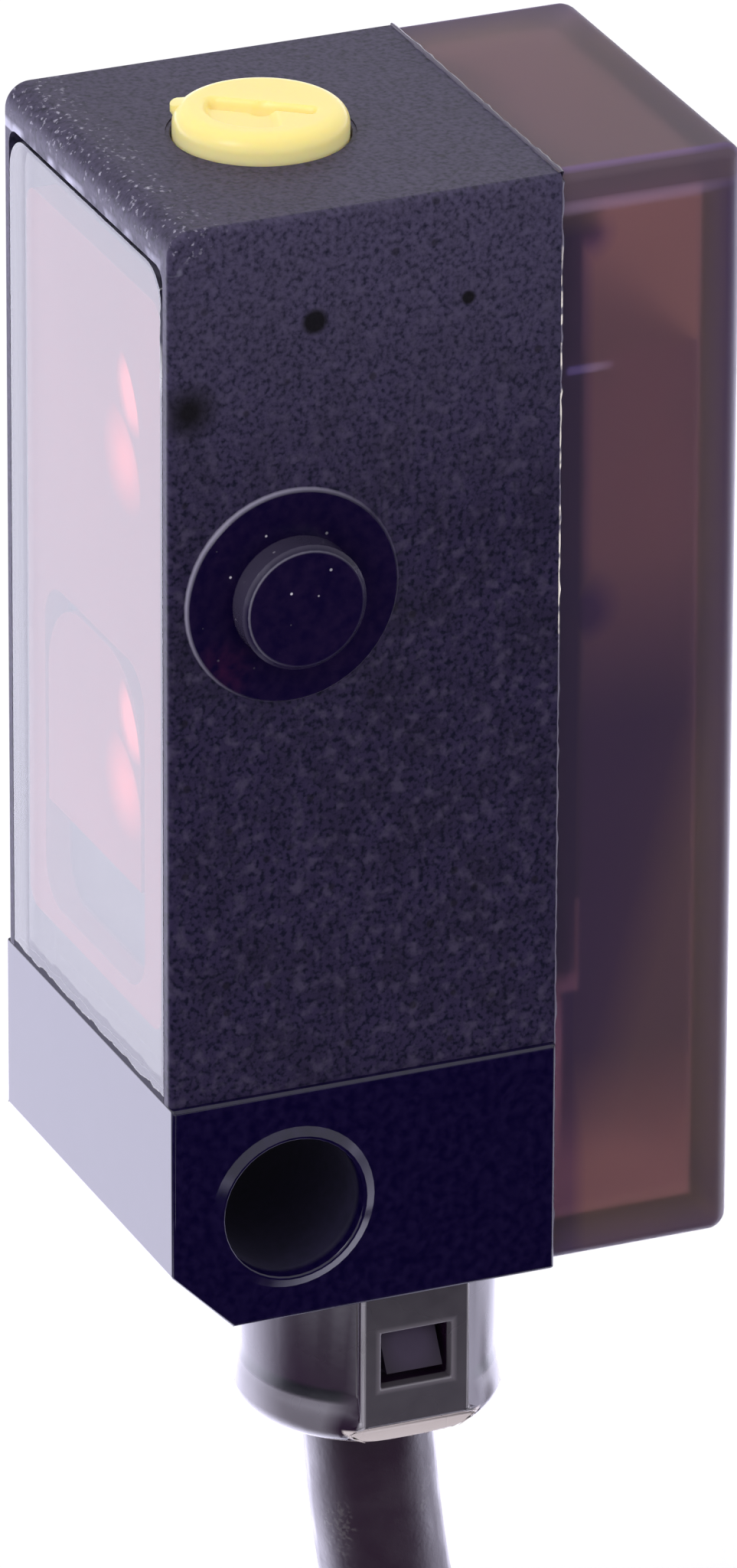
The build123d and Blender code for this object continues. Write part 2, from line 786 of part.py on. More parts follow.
# Plug: moulded grip, threaded metal sleeve, contact insert and three pins
plug_axis = Axis(cable_end, (0, 1, 0))
plug_plane = Plane(origin=cable_end, x_dir=(0, 0, 1), z_dir=(-1, 0, 0))
grip_start = plug_neck_length
grip_end = grip_start + plug_grip_length
sleeve_end = grip_end + plug_ring_length + plug_thread_length
with BuildPart() as plug_grip:
    with BuildSketch(plug_plane):
        with BuildLine():
            Polyline(
                (0, 0),
                (plug_neck_radius, 0),
                (plug_neck_radius + plug_neck_flare, grip_start),
                (plug_grip_radius, grip_start + plug_grip_taper),
                (plug_grip_radius, grip_end),
                (0, grip_end),
                close=True,
            )
        make_face()
        for groove in range(plug_neck_groove_count):
            groove_start = plug_neck_groove_start + groove * plug_neck_groove_pitch
            with Locations((plug_neck_radius - plug_neck_groove_depth, groove_start)):
                Rectangle(
                    plug_neck_radius,
                    plug_neck_groove_width,
                    align=(Align.MIN, Align.MIN),
                    mode=Mode.SUBTRACT,
                )
    revolve(axis=plug_axis)
    for side in (1, -1):
        flat_centre = (
            cable_end[0] + side * (plug_grip_flat + plug_grip_radius / 2),
            cable_end[1] + grip_end - plug_flat_from_end - plug_flat_length / 2,
            cable_end[2],
        )
        with Locations(flat_centre):
            Box(plug_grip_radius, plug_flat_length, 2 * plug_grip_radius, mode=Mode.SUBTRACT)
finish(plug_grip.part, "plug_grip")

with BuildPart() as plug_sleeve:
    with BuildSketch(plug_plane):
        with BuildLine():
            Polyline(
                (0, grip_end),
                (plug_ring_radius, grip_end),
                (plug_ring_radius, grip_end + plug_ring_length),
                (plug_thread_radius, grip_end + plug_ring_length),
                (plug_thread_radius, sleeve_end - plug_thread_chamfer),
                (plug_thread_radius - plug_thread_chamfer, sleeve_end),
                (plug_bore_radius, sleeve_end),
                (plug_bore_radius, sleeve_end - plug_bore_depth),
                (0, sleeve_end - plug_bore_depth),
                close=True,
            )
        make_face()
    revolve(axis=plug_axis)
finish(plug_sleeve.part, "plug_sleeve")

insert_floor = sleeve_end - plug_bore_depth
insert_face = insert_floor + plug_insert_length
plug_face_plane = Plane(
    origin=(cable_end[0], cable_end[1] + insert_face, cable_end[2]),
    x_dir=(1, 0, 0),
    z_dir=(0, 1, 0),
)
with BuildPart() as plug_insert:
    with BuildSketch(plug_face_plane):
        Circle(plug_bore_radius)
    extrude(amount=-plug_insert_length)
    with BuildSketch(plug_face_plane):
        with Locations((0, -plug_bore_radius + plug_key_height)):
            Rectangle(plug_key_width, plug_key_height, align=(Align.CENTER, Align.MIN))
    extrude(amount=plug_pin_length - plug_key_short)
    with BuildSketch(plug_face_plane):
        with Locations(*plug_pin_places):
            Circle(plug_pin_radius)
    extrude(amount=-plug_pin_seat, mode=Mode.SUBTRACT)
finish(plug_insert.part, "plug_insert")

with BuildPart() as plug_pins:
    with BuildSketch(plug_face_plane.offset(-plug_pin_seat)):
        with Locations(*plug_pin_places):
            Circle(plug_pin_radius)
    extrude(amount=plug_pin_seat + plug_pin_length)
    tips = plug_pins.faces().filter_by(Axis.Y).group_by(Axis.Y)[-1]
    chamfer(tips.edges(), length=plug_pin_tip)
finish(plug_pins.part, "plug_pins")
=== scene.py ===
"""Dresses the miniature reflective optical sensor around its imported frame."""

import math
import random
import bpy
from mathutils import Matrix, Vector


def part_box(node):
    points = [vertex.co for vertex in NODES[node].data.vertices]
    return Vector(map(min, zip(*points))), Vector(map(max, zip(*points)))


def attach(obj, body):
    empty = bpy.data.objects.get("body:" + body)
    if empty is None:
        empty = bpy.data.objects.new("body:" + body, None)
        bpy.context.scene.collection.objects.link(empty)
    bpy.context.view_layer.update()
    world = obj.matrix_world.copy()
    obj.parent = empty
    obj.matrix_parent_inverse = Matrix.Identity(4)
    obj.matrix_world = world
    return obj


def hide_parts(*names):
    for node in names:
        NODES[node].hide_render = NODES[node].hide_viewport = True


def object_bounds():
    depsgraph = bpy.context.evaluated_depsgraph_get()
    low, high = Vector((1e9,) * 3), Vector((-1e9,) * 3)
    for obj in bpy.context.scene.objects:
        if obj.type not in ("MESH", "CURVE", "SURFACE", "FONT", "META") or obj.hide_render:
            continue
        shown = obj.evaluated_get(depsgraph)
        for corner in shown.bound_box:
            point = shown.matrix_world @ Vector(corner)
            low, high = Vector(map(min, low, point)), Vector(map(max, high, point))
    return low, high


bl_info = {
    "name": "Reflective Optical Sensor",
    "version": (1, 0, 0),
    "blender": (4, 5, 0),
    "location": "View3D > Sidebar > Sensor",
    "description": "Finishes a miniature optical sensor, its cable and its plug, and lights it",
    "category": "Object",
}

from functools import cached_property

import bmesh
import bpy
from bpy.props import FloatProperty, FloatVectorProperty, PointerProperty
from mathutils import Matrix, Vector

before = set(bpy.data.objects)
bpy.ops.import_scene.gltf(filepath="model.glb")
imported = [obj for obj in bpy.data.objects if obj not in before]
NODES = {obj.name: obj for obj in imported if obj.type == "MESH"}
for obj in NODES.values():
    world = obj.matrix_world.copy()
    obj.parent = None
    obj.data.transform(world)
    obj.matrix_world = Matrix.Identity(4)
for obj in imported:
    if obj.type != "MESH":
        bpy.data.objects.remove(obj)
cad_low, cad_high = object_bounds()

MM = 0.001


def linear(code):
    """A linear RGB colour from an sRGB hex code."""
    channels = [int(code[i : i + 2], 16) / 255 for i in (1, 3, 5)]
    return tuple(c / 12.92 if c <= 0.04045 else ((c + 0.055) / 1.055) ** 2.4 for c in channels)


def box_mm(node_name):
    """A node's lowest and highest corners in millimetres."""
    low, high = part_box(node_name)
    return Vector(low) / MM, Vector(high) / MM


def colour_property(name, code, description):
    """A colour that the user can change, from an sRGB hex code."""
    return FloatVectorProperty(
        name=name,
        description=description,
        subtype="COLOR",
        size=3,
        min=0.0,
        max=1.0,
        default=linear(code),
    )


def length_property(name, millimetres, description):
    """A length in metres that the user can change, from its size in millimetres."""
    return FloatProperty(
        name=name,
        description=description,
        unit="LENGTH",
        precision=5,
        default=millimetres * MM,
    )


def power_property(name, strength, description):
    """A strength of light that the user can change."""
    return FloatProperty(name=name, description=description, min=0.0, default=strength)


def angle_property(name, degrees, description):
    """An angle that the user can change, from its size in degrees."""
    return FloatProperty(
        name=name, description=description, subtype="ANGLE", default=math.radians(degrees)
    )


class FinishSettings(bpy.types.PropertyGroup):
    """Colours and sizes of the object's own finishes."""

    housing_colour: colour_property("Housing", "#0b0618", "Plum black housing plastic")
    base_colour: colour_property("Base", "#060124", "Smooth plum black base plastic")
    cover_colour: colour_property("Cover", "#dab1e7", "Smoky haze of the rear cover")
    lens_colour: colour_property("Lens", "#8c3a38", "Red tinted lens plastic")
    knob_colour: colour_property("Knob", "#f7e28e", "Yellow adjuster plastic")
    resin_colour: colour_property("Resin", "#9e87ab", "Greyish casting resin")
    board_colour: colour_property("Board", "#101a14", "Solder mask of the circuit board")
    cable_colour: colour_property("Cable", "#261028", "Jacket of the cable")
    grain_size: length_property("Grain", 0.13, "Width of the spark eroded grain")
    glue_radius: length_property("Glue bead", 0.06, "Radius of the glue line at the cover")
    thread_pitch: length_property("Thread pitch", 1.0, "Pitch of the plug's thread")
    thread_depth: length_property("Thread depth", 0.5, "Depth of the plug's thread")


class StageSettings(bpy.types.PropertyGroup):
    """Floor, lights and camera."""

    floor_colour: colour_property("Floor", "#fcfcfc", "Pale matte floor")
    sky_colour: colour_property("Surround", "#ffffff", "Colour of the soft surrounding light")
    sky_power: power_property("Surround power", 1.0, "Strength of the surrounding light")
    table_colour: colour_property("Light below", "#eae8ff", "Pale light from below, behind the object")
    table_power: power_property("Light below power", 3.77, "Strength of the light from below")
    room_colour: colour_property("Room", "#0c0a10", "Dark room below the camera's horizon")
    lamp_colour: colour_property("Softbox", "#eeecff", "Colour of the softbox")
    lamp_power: power_property("Softbox power", 5.0, "Radiance of the softbox")
    azimuth: angle_property("Azimuth", 67.0316, "From straight in front towards the latch side")
    elevation: angle_property("Elevation", 24.4275, "Camera height above the horizon")
    roll: angle_property("Roll", 0.2262, "Camera roll")
    distance: length_property("Distance", 351.703, "From the camera to the object")
    focal_length: FloatProperty(
        name="Focal length",
        description="Lens on a sensor 36 mm on its long side",
        unit="CAMERA",
        default=351.46,
    )


# Patterns and materials


def add_node(tree, kind, inputs=None, **settings):
    """Adds one node with its settings. An input is another node's output or a plain value."""
    new = tree.nodes.new("ShaderNode" + kind)
    for name, value in settings.items():
        setattr(new, name, value)
    for socket, value in (inputs or {}).items():
        if isinstance(value, bpy.types.NodeSocket):
            tree.links.new(value, new.inputs[socket])
        else:
            new.inputs[socket].default_value = value
    return new


def four_channels(colour):
    """A hex code or a linear colour with its alpha, and another node's output as it is."""
    if isinstance(colour, bpy.types.NodeSocket):
        return colour
    channels = linear(colour) if isinstance(colour, str) else colour
    return (*channels, 1.0)


class Pattern:
    """Masks and colours that follow the place on a piece, with lengths in one unit."""

    def __init__(self, tree, place, unit=MM):
        self.tree = tree
        self.place = place
        self.unit = unit

    @cached_property
    def axes(self):
        """The three coordinates of the place."""
        return add_node(self.tree, "SeparateXYZ", {"Vector": self.place}).outputs

    @cached_property
    def side_view(self):
        """The place as seen from the side, without its X."""
        level = {"Y": self.axes["Y"], "Z": self.axes["Z"]}
        return add_node(self.tree, "CombineXYZ", level).outputs["Vector"]

    def shifted(self, shift):
        """The same pattern with its place moved by an uneven length."""
        moved = add_node(self.tree, "VectorMath", {0: self.place, 1: shift})
        return Pattern(self.tree, moved.outputs["Vector"], self.unit)

    def fade(self, value, start, end, low=0.0, high=1.0):
        """Goes from low to high while the value goes from start to end, and stays there."""
        span = {"From Min": start, "From Max": end, "To Min": low, "To Max": high}
        return add_node(self.tree, "MapRange", {"Value": value, **span}).outputs["Result"]

    def along(self, way, start, end, low=0.0, high=1.0):
        """Fades between two places along an axis or a direction, or aside from the middle."""
        if not isinstance(way, str):
            inputs = {0: self.place, 1: way}
            value = add_node(self.tree, "VectorMath", inputs, operation="DOT_PRODUCT").outputs["Value"]
        elif way == "aside":
            inputs = {0: self.axes["X"]}
            value = add_node(self.tree, "Math", inputs, operation="ABSOLUTE").outputs[0]
        else:
            value = self.axes[way]
        return self.fade(value, start * self.unit, end * self.unit, low, high)

    def patches(self, size, *span, detail=3.0):
        """Soft patches about that wide, between 0 and 1 or faded over a span."""
        inputs = {"Vector": self.place, "Scale": 1.0 / (size * self.unit), "Detail": detail}
        noise = add_node(self.tree, "TexNoise", inputs).outputs["Fac"]
        return self.fade(noise, *span) if span else noise

    def fold(self, operation, masks):
        """One mask from several, two at a time."""
        result, *others = masks
        for mask in others:
            result = add_node(self.tree, "Math", {0: result, 1: mask}, operation=operation).outputs[0]
        return result

    def both(self, *masks):
        """Where all of the masks hold."""
        return self.fold("MULTIPLY", masks)

    def either(self, *masks):
        """Where any of the masks holds."""
        return self.fold("MAXIMUM", masks)

    def distance(self, centre):
        """Distance from a point, or in the side view from a point that has only Y and Z."""
        place = self.place if len(centre) == 3 else self.side_view
        point = Vector((*(0.0,) * (3 - len(centre)), *centre)) * self.unit
        inputs = {0: place, 1: point}
        return add_node(self.tree, "VectorMath", inputs, operation="DISTANCE").outputs["Value"]

    def spot(self, centre, radius, soft=0.5):
        """1 inside a small round spot, falling to 0 at its rim."""
        reach = radius * self.unit
        return self.fade(self.distance(centre), reach, reach * (1 - soft))

    def ring(self, centre, radius, width):
        """1 on a thin ring, falling to 0 on both sides of it."""
        inputs = {0: self.distance(centre), 1: radius * self.unit}
        gap = add_node(self.tree, "Math", inputs, operation="SUBTRACT").outputs[0]
        gap = add_node(self.tree, "Math", {0: gap}, operation="ABSOLUTE").outputs[0]
        return self.fade(gap, width * self.unit, width * self.unit * 0.3)

    def dust(self, spacing, share, radius=0.08):
        """Specks in a share of the cells of a grid, their radius a share of its spacing."""
        inputs = {"Vector": self.place, "Scale": 1.0 / (spacing * self.unit)}
        cells = add_node(self.tree, "TexVoronoi", inputs).outputs
        near = self.fade(cells["Distance"], radius, radius * 0.6)
        return self.both(near, self.fade(cells["Color"], 1 - share, 1.01 - share))

    def mix(self, mask, first, second):
        """A colour that goes from first to second with the mask."""
        inputs = {"Factor": mask, 6: four_channels(first), 7: four_channels(second)}
        return add_node(self.tree, "Mix", inputs, data_type="RGBA").outputs[2]


class Skin(Pattern):
    """A material's surface, and the colour that has been painted on it so far."""

    def __init__(self, name, colour, sockets=None):
        self.material = bpy.data.materials.new(name)
        self.material.use_nodes = True
        tree = self.material.node_tree
        super().__init__(tree, add_node(tree, "TexCoord").outputs["Object"])
        self.colour = colour
        self.shader = tree.nodes["Principled BSDF"]
        self.shader.inputs["Base Color"].default_value = four_channels(colour)
        for socket, value in (sockets or {}).items():
            self.shader.inputs[socket].default_value = value

    def relief(self, pattern, height, strength=1.0):
        """Raises the surface by a real height where the pattern is 1."""
        inputs = {"Height": pattern, "Distance": height * MM, "Strength": strength}
        bump = add_node(self.tree, "Bump", inputs)
        self.tree.links.new(bump.outputs["Normal"], self.shader.inputs["Normal"])

    def grain(self, size, height, detail=2.0):
        """Fine moulded or eroded grain, of a real width and height."""
        self.relief(self.patches(size, detail=detail), height)

    def feed(self, socket, mask, low=0.0, high=1.0):
        """Lets a mask move one of the shader's values from low to high."""
        self.tree.links.new(self.fade(mask, 0.0, 1.0, low, high), self.shader.inputs[socket])

    def vary_roughness(self, size, low, high):
        """Roughness that wanders between two values, as on handled or moulded plastic."""
        self.feed("Roughness", self.patches(size, 0.35, 0.65), low, high)

    def paint(self, mask, colour):
        """Lays a colour over the present one."""
        self.colour = self.mix(mask, self.colour, colour)

    def done(self):
        """The material, with the painted colour on its shader."""
        if isinstance(self.colour, bpy.types.NodeSocket):
            self.tree.links.new(self.colour, self.shader.inputs["Base Color"])
        return self.material


# Places in millimetres that the finishes follow

HOLE_Y = 0.0
HOLE_Z = 0.0
HOLE_RADIUS = 1.7
BOSS_Z = 15.1
EMITTER_Z = 18.4
RECEIVER_Z = 10.4
LENS_FACE_Y = -2.43
GLAND_Y = 4.0
LATCH_Z = -5.55
LATCH_HALF_WIDTH = 0.875
LATCH_HALF_HEIGHT = 0.7
SCRATCH_Z = 19.37

# Dark marks on the housing: middle, radius and softness
HOUSING_MARKS = (
    ((4.93, -2.45, 19.9), 0.8, 0.8),
    ((4.93, 0.55, 21.6), 0.36, 0.4),
    ((4.93, 4.25, 21.6), 0.2, 0.4),
)
STAIN_MIDDLE = (5.05, -1.8, 13.5)
BOSS_DUST_MIDDLE = (5.1, -0.7, 15.6)
GLUE_FLECK_MIDDLE = (4.9, 6.5, 17.5)

# Rims on the boss and its disc: radius, the lowest X of the level that has the rim, and colour
BOSS_RIMS = ((1.5, 5.1, "#3f3a4c"), (1.44, 5.78, "#b8b3c6"), (2.6, 4.93, "#8e899c"))
RIM_WIDTH = 0.1

# Parts on the board whose shadows are painted on the cover beside its seam: middle and radius
BOARD_SHADOWS = (((4.82, 7.2, 22.6), 0.75), ((4.82, 7.2, 13.4), 1.1))


def housing_abs(finish):
    """ABS, moulded against a spark eroded tool: an even speckled grain that breaks up gloss.

    The real grain is too fine to show, so it is drawn coarser."""
    skin = Skin("spark_eroded_abs", finish.housing_colour, {"Specular IOR Level": 0.22})
    grain_size = finish.grain_size / MM
    skin.grain(grain_size, 0.009, 4.0)
    speckle = skin.patches(grain_size, detail=4.0)
    skin.colour = skin.mix(skin.fade(speckle, 0.36, 0.54), "#00001f", "#231a3a")
    skin.paint(skin.patches(1.1, 0.4, 0.75, 0.0, 0.4), finish.housing_colour)
    skin.paint(skin.patches(0.35, 0.52, 0.7, 0.0, 0.7), "#39324a")
    # painted light: the top of each side is painted a little paler, as lit from above
    painted_top_light = skin.both(skin.along("Z", 16.0, 24.5), skin.fade(speckle, 0.2, 0.8))
    skin.paint(painted_top_light, "#464059")
    # pits of the grain painted dark as shade, three marks, and dust
    skin.paint(skin.both(skin.dust(0.5, 0.2, 0.24), speckle), "#020104")
    for middle, radius, soft in HOUSING_MARKS:
        skin.paint(skin.spot(middle, radius, soft), "#06030c")
    skin.paint(skin.dust(0.8, 0.1), "#8d8894")
    # the discs and bosses come from polished faces of the tool, here with a stain and dust
    polished = skin.along("aside", 4.96, 5.01)
    mottle = skin.patches(0.3, 0.35, 0.7)
    disc = skin.mix(mottle, "#0a0326", "#150a2b")
    disc = skin.mix(skin.both(skin.spot(STAIN_MIDDLE, 0.9, 0.8), mottle), disc, "#2a0a2c")
    boss_dust = skin.both(skin.dust(0.3, 0.35, 0.14), skin.spot(BOSS_DUST_MIDDLE, 2.2, 0.6))
    skin.paint(polished, skin.mix(boss_dust, disc, "#b9b4c0"))
    # their rounded rims shine on the side that faces the light
    lit = skin.along((0.0, -0.8, 0.6), 8.5, 11.2, 0.1, 1.0)
    for radius, level, code in BOSS_RIMS:
        rim = skin.ring((0.0, BOSS_Z), radius, RIM_WIDTH)
        skin.paint(skin.both(rim, lit, skin.along("X", level, level + 0.05)), code)
    # painted glints along the top of the front frame, and a painted highlight along its lower lip
    edge = skin.both(skin.along("Z", 23.4, 23.9), skin.along("Y", -1.4, -2.6))
    skin.paint(skin.both(edge, skin.patches(0.15, 0.6, 0.74)), "#aaa6b8")
    lip = skin.both(skin.along("Z", 23.18, 23.22), skin.along("Z", 23.48, 23.36))
    lip = skin.both(lip, skin.along("Y", -2.6, -2.8), skin.patches(0.9, 0.42, 0.6, detail=2.0))
    skin.paint(lip, "#b6b4cc")
    skin.feed("Roughness", polished, 0.48, 0.22)
    return skin.done()


def base_abs(finish):
    """ABS, moulded against a polished tool: smooth and dark, with an even soft reflection."""
    skin = Skin("polished_abs", finish.base_colour)
    skin.grain(1.5, 0.002)
    # the mounting hole's wall is left matt by its core pin
    wall = skin.spot((HOLE_Y, HOLE_Z), HOLE_RADIUS + 0.08, 0.02)
    skin.feed("Roughness", skin.both(wall, skin.along("aside", 5.0, 4.7)), 0.16, 0.95)
    skin.paint(skin.patches(0.22, 0.35, 0.7), "#120a2e")
    skin.paint(skin.dust(1.1, 0.2, 0.04), "#9a95a8")
    return skin.done()


def cover_polycarbonate(finish):
    """Polycarbonate, tinted smoky and moulded: hazy plum, orange where light comes through."""
    skin = Skin("tinted_polycarbonate", finish.cover_colour, {"IOR": 1.5})
    skin.grain(0.5, 0.004)
    side_wall = skin.along("aside", 4.5, 4.75)
    # painted shade: beside the seam the edge of the board shades the wall, with two parts on it
    strip = skin.along("Y", 7.4, 7.0)
    for middle, radius in BOARD_SHADOWS:
        strip = skin.either(strip, skin.spot(middle, radius, 0.7))
    strip = skin.both(strip, skin.along("Z", 23.2, 22.6), skin.along("Z", 2.0, 11.0, 0.9, 1.0))
    # so does the thick part of the resin, which ends on a slope
    thick = skin.both(skin.along((0.0, -3.82, 1.0), -30.5, -26.0), skin.along("Z", 14.5, 10.5))
    thick = skin.both(thick, skin.along("Z", -0.5, 2.5, 0.0, 0.8))
    skin.paint(skin.both(skin.either(strip, thick), side_wall), "#8869dc")
    # the top wall is a little darker
    skin.paint(skin.along("Z", 23.8, 24.1), "#c29cff")
    # where the walls are seen edge on, at the top, the rear and the foot, they are made hazy; at the
    # rear and the foot the haze is a painted glow of light that comes through the curved corners, and
    # along the top it is darker
    rear = skin.both(skin.along("Y", 9.8, 10.6), skin.along("Z", -2.0, 21.0, 0.4, 1.0))
    rear = skin.either(rear, skin.along("Z", -1.6, -2.5, 0.0, 0.7))
    rear = skin.both(rear, side_wall)
    skin.paint(rear, "#7f62b8")
    top = skin.both(skin.along("Z", 23.1, 23.5), side_wall)
    skin.paint(top, "#5e4860")
    # a light scratch beside the seam
    scratch = skin.both(
        skin.along("Z", SCRATCH_Z - 0.14, SCRATCH_Z - 0.03, 0.0, 0.5),
        skin.along("Z", SCRATCH_Z + 0.14, SCRATCH_Z + 0.03),
        skin.along("Y", 7.9, 7.3),
        skin.along("Y", 6.65, 6.8),
    )
    skin.paint(scratch, "#6c5a70")
    skin.paint(skin.dust(1.6, 0.1, 0.03), "#ffffff")
    haze = skin.either(skin.fade(rear, 0.0, 1.0, 0.0, 0.2), top, scratch)
    skin.feed("Transmission Weight", haze, 0.962, 0.5)
    skin.feed("Roughness", skin.along("Z", 23.0, 24.1), 0.4, 0.6)
    # light that enters the plastic away from its edges comes out orange
    inputs = {"Color": four_channels("#eeeec4"), "Density": 1970.0}
    tint = add_node(skin.tree, "VolumeAbsorption", inputs)
    output = skin.tree.nodes["Material Output"]
    skin.tree.links.new(tint.outputs["Volume"], output.inputs["Volume"])
    return skin.done()


def window_acrylic():
    """Acrylic, moulded and polished: clear and colourless, with an even reflection.

    Its IOR is under acrylic's 1.49, with which the pale surround showed too brightly in it."""
    skin = Skin("clear_acrylic", "#fdfdff", {"IOR": 1.4})
    skin.grain(2.5, 0.001)
    # painted shade: the foot and one upper corner are painted dark and rough, with an uneven edge, for
    # the shade in the gap round the window
    low, high = box_mm("front_window")
    ragged = skin.shifted(skin.patches(0.45, 0.3, 0.7, -0.05 * MM, 0.05 * MM))
    corner = skin.both(
        ragged.along("X", high.x - 0.14, high.x - 0.1),
        ragged.along("Z", high.z - 3.0, high.z - 1.6),
    )
    gap_shade = skin.either(ragged.along("Z", low.z + 0.18, low.z + 0.14), corner)
    skin.paint(gap_shade, "#17122c")
    skin.feed("Roughness", gap_shade, 0.04, 0.7)
    # the moulded rim on the far side scatters a little light
    clear = skin.both(skin.along("X", -3.6, -3.9, 1.0, 0.87), skin.fade(gap_shade, 1.0, 0.0))
    skin.feed("Transmission Weight", clear)
    return skin.done()


def window_gap_shade():
    """Painted shade for the gap round the window: dark and satin."""
    return Skin("painted_gap_shade", "#15102c", {"Roughness": 0.6}).done()


def lens_polycarbonate(finish):
    """Polycarbonate, tinted red and moulded: deep pink, with painted red highlights on the rims at the
    lenses.

    Its gloss is off, because the window in front of it already mirrors the surround."""
    sockets = {"Roughness": 0.35, "Specular IOR Level": 0.0}
    skin = Skin("red_polycarbonate", finish.lens_colour, sockets)
    skin.paint(skin.patches(6.0, detail=1.0), "#68302c")
    # painted highlights: the light that the polished rims of the two lens seats send back, painted as a
    # crescent and a wedge
    for height in (EMITTER_Z, RECEIVER_Z):
        inner = skin.spot((-0.5, LENS_FACE_Y, height - 0.5), 2.75, 0.25)
        glint_crescent = skin.both(
            skin.spot((0.0, LENS_FACE_Y, height - 0.4), 2.85, 0.03),
            skin.spot((2.35, LENS_FACE_Y, height + 1.0), 1.05, 0.6),
            skin.fade(inner, 1.0, 0.0),
        )
        skin.paint(glint_crescent, "#ff7c72")
        glint_wedge = skin.both(
            skin.spot((0.9, LENS_FACE_Y, height - 1.5), 1.95, 0.06),
            skin.spot((1.9, LENS_FACE_Y, height - 0.75), 1.35, 0.95),
        )
        skin.paint(glint_wedge, "#f0665c")
    return skin.done()


def carrier_polyamide():
    """Polyamide, glass filled and moulded black: dull with a slightly mottled skin."""
    skin = Skin("black_polyamide", "#141118", {"Specular IOR Level": 0.3})
    skin.grain(0.25, 0.006)
    skin.vary_roughness(1.0, 0.45, 0.65)
    return skin.done()


def board_laminate(finish):
    """Glass epoxy laminate under a dark solder mask: satin, with the weave faintly there."""
    skin = Skin("masked_laminate", finish.board_colour, {"Roughness": 0.35})
    inputs = {"Vector": skin.place, "Scale": 1.0 / (0.4 * MM), "Distortion": 0.5}
    skin.relief(add_node(skin.tree, "TexWave", inputs).outputs["Fac"], 0.004, 0.4)
    return skin.done()


def moulded_epoxy(name, code, roughness):
    """Epoxy, transfer moulded round a chip: matt with a fine even skin."""
    skin = Skin(name, code, {"Roughness": roughness})
    skin.grain(0.08, 0.003)
    return skin.done()


def scattering(weight, *reaches):
    """Socket values for plastic that light enters, by its reach in millimetres per channel."""
    return {
        "Subsurface Weight": weight,
        "Subsurface Radius": tuple(reach * MM for reach in reaches),
        "Subsurface Scale": 1.0,
    }


def indicator_epoxy(name, code):
    """Epoxy, cast milky round a light source: soft and slightly see-through."""
    skin = Skin(name, code, scattering(0.4, 0.6, 0.4, 0.2))
    skin.vary_roughness(0.4, 0.2, 0.35)
    return skin.done()


def fired_ceramic(name, code):
    """Ceramic, pressed and fired: dense and matt."""
    skin = Skin(name, code, {"Roughness": 0.5})
    skin.grain(0.06, 0.003)
    return skin.done()


def casting_resin(finish):
    """Polyurethane resin, poured and cured: cloudy, darker low down, clear at its thin foot."""
    skin = Skin("casting_resin", finish.resin_colour, {"Roughness": 0.3})
    skin.grain(1.4, 0.01)
    cloud = skin.patches(1.6)
    skin.paint(skin.along("Z", 15.0, 10.5), "#564a77")
    skin.paint(skin.fade(cloud, 0.5, 0.75, 0.0, 0.7), "#332c50")
    uneven = skin.shifted(skin.fade(cloud, 0.0, 1.0, MM, -1.5 * MM))
    clear = uneven.along("Z", 1.6, -1.0)
    skin.paint(clear, "#f6ecf0")
    skin.feed("Transmission Weight", clear)
    return skin.done()


def knob_polyamide(finish):
    """Polyamide, moulded yellow: satin, a little see-through at its thin edges."""
    sockets = {"Roughness": 0.28, **scattering(0.6, 0.7, 0.5, 0.12)}
    skin = Skin("yellow_polyamide", finish.knob_colour, sockets)
    skin.grain(0.2, 0.002)
    # light that comes through the rim makes the side paler
    skin.paint(skin.along("Z", 24.65, 24.25), "#ffeeac")
    return skin.done()


def gland_polyamide():
    """Polyamide, moulded black against a smooth tool: satin, its pad painted paler."""
    skin = Skin("smooth_polyamide", "#240c29", {"Specular IOR Level": 1.0})
    skin.grain(0.2, 0.002)
    skin.vary_roughness(2.5, 0.24, 0.3)
    pad = skin.along("X", 2.6, 2.64)
    # the pad's face is painted a paler, mottled grey
    skin.paint(skin.along("X", 2.82, 2.86), skin.mix(skin.patches(0.5), "#3a353f", "#4b464f"))
    # beside the pad, a painted highlight on the rolled lip and painted shade in the crease above it
    skin.paint(skin.both(skin.along("Z", -6.6, -6.7), skin.along("X", 2.6, 2.3)), "#6a6570")
    crease_shade = skin.both(skin.along("Z", -6.3, -6.42), skin.along("Z", -6.7, -6.6))
    skin.paint(skin.both(crease_shade, skin.along("X", 2.6, 2.4)), "#060414")
    # painted highlights on the edges round the latch window, along the pad's edges and at the collar's
    # foot
    inputs = {0: skin.place, 1: Vector((0.0, GLAND_Y, LATCH_Z)) * MM}
    place = add_node(skin.tree, "VectorMath", inputs, operation="SUBTRACT").outputs["Vector"]
    place = add_node(skin.tree, "VectorMath", {0: place}, operation="ABSOLUTE").outputs["Vector"]
    latch = Pattern(skin.tree, place)
    border = (
        latch.along("Y", LATCH_HALF_WIDTH + 0.16, LATCH_HALF_WIDTH + 0.03),
        latch.along("Z", LATCH_HALF_HEIGHT + 0.16, LATCH_HALF_HEIGHT + 0.03),
    )
    skin.paint(skin.both(pad, skin.fold("MINIMUM", border)), "#67616b")
    skin.paint(skin.both(skin.along("X", 2.78, 2.82), latch.along("Y", 1.25, 1.3)), "#9d98a2")
    foot = skin.either(
        skin.both(pad, skin.along("Z", -7.26, -7.32)),
        skin.both(skin.along("Z", -7.64, -7.68), skin.along("X", 0.2, 1.6)),
    )
    skin.paint(foot, "#cdc1c3")
    return skin.done()


def boot_elastomer():
    """Thermoplastic elastomer, moulded on to the cable: dull and soft, with a painted highlight on its
    latch nose.
    """
    skin = Skin("boot_elastomer", "#211829", {"Roughness": 0.5, "Specular IOR Level": 0.3})
    skin.grain(0.15, 0.004)
    # painted highlight: the latch nose's face, which faces the light, is painted paler
    skin.paint(skin.spot((2.4, GLAND_Y, LATCH_Z + 0.1), 0.95, 0.6), "#3a2e47")
    return skin.done()


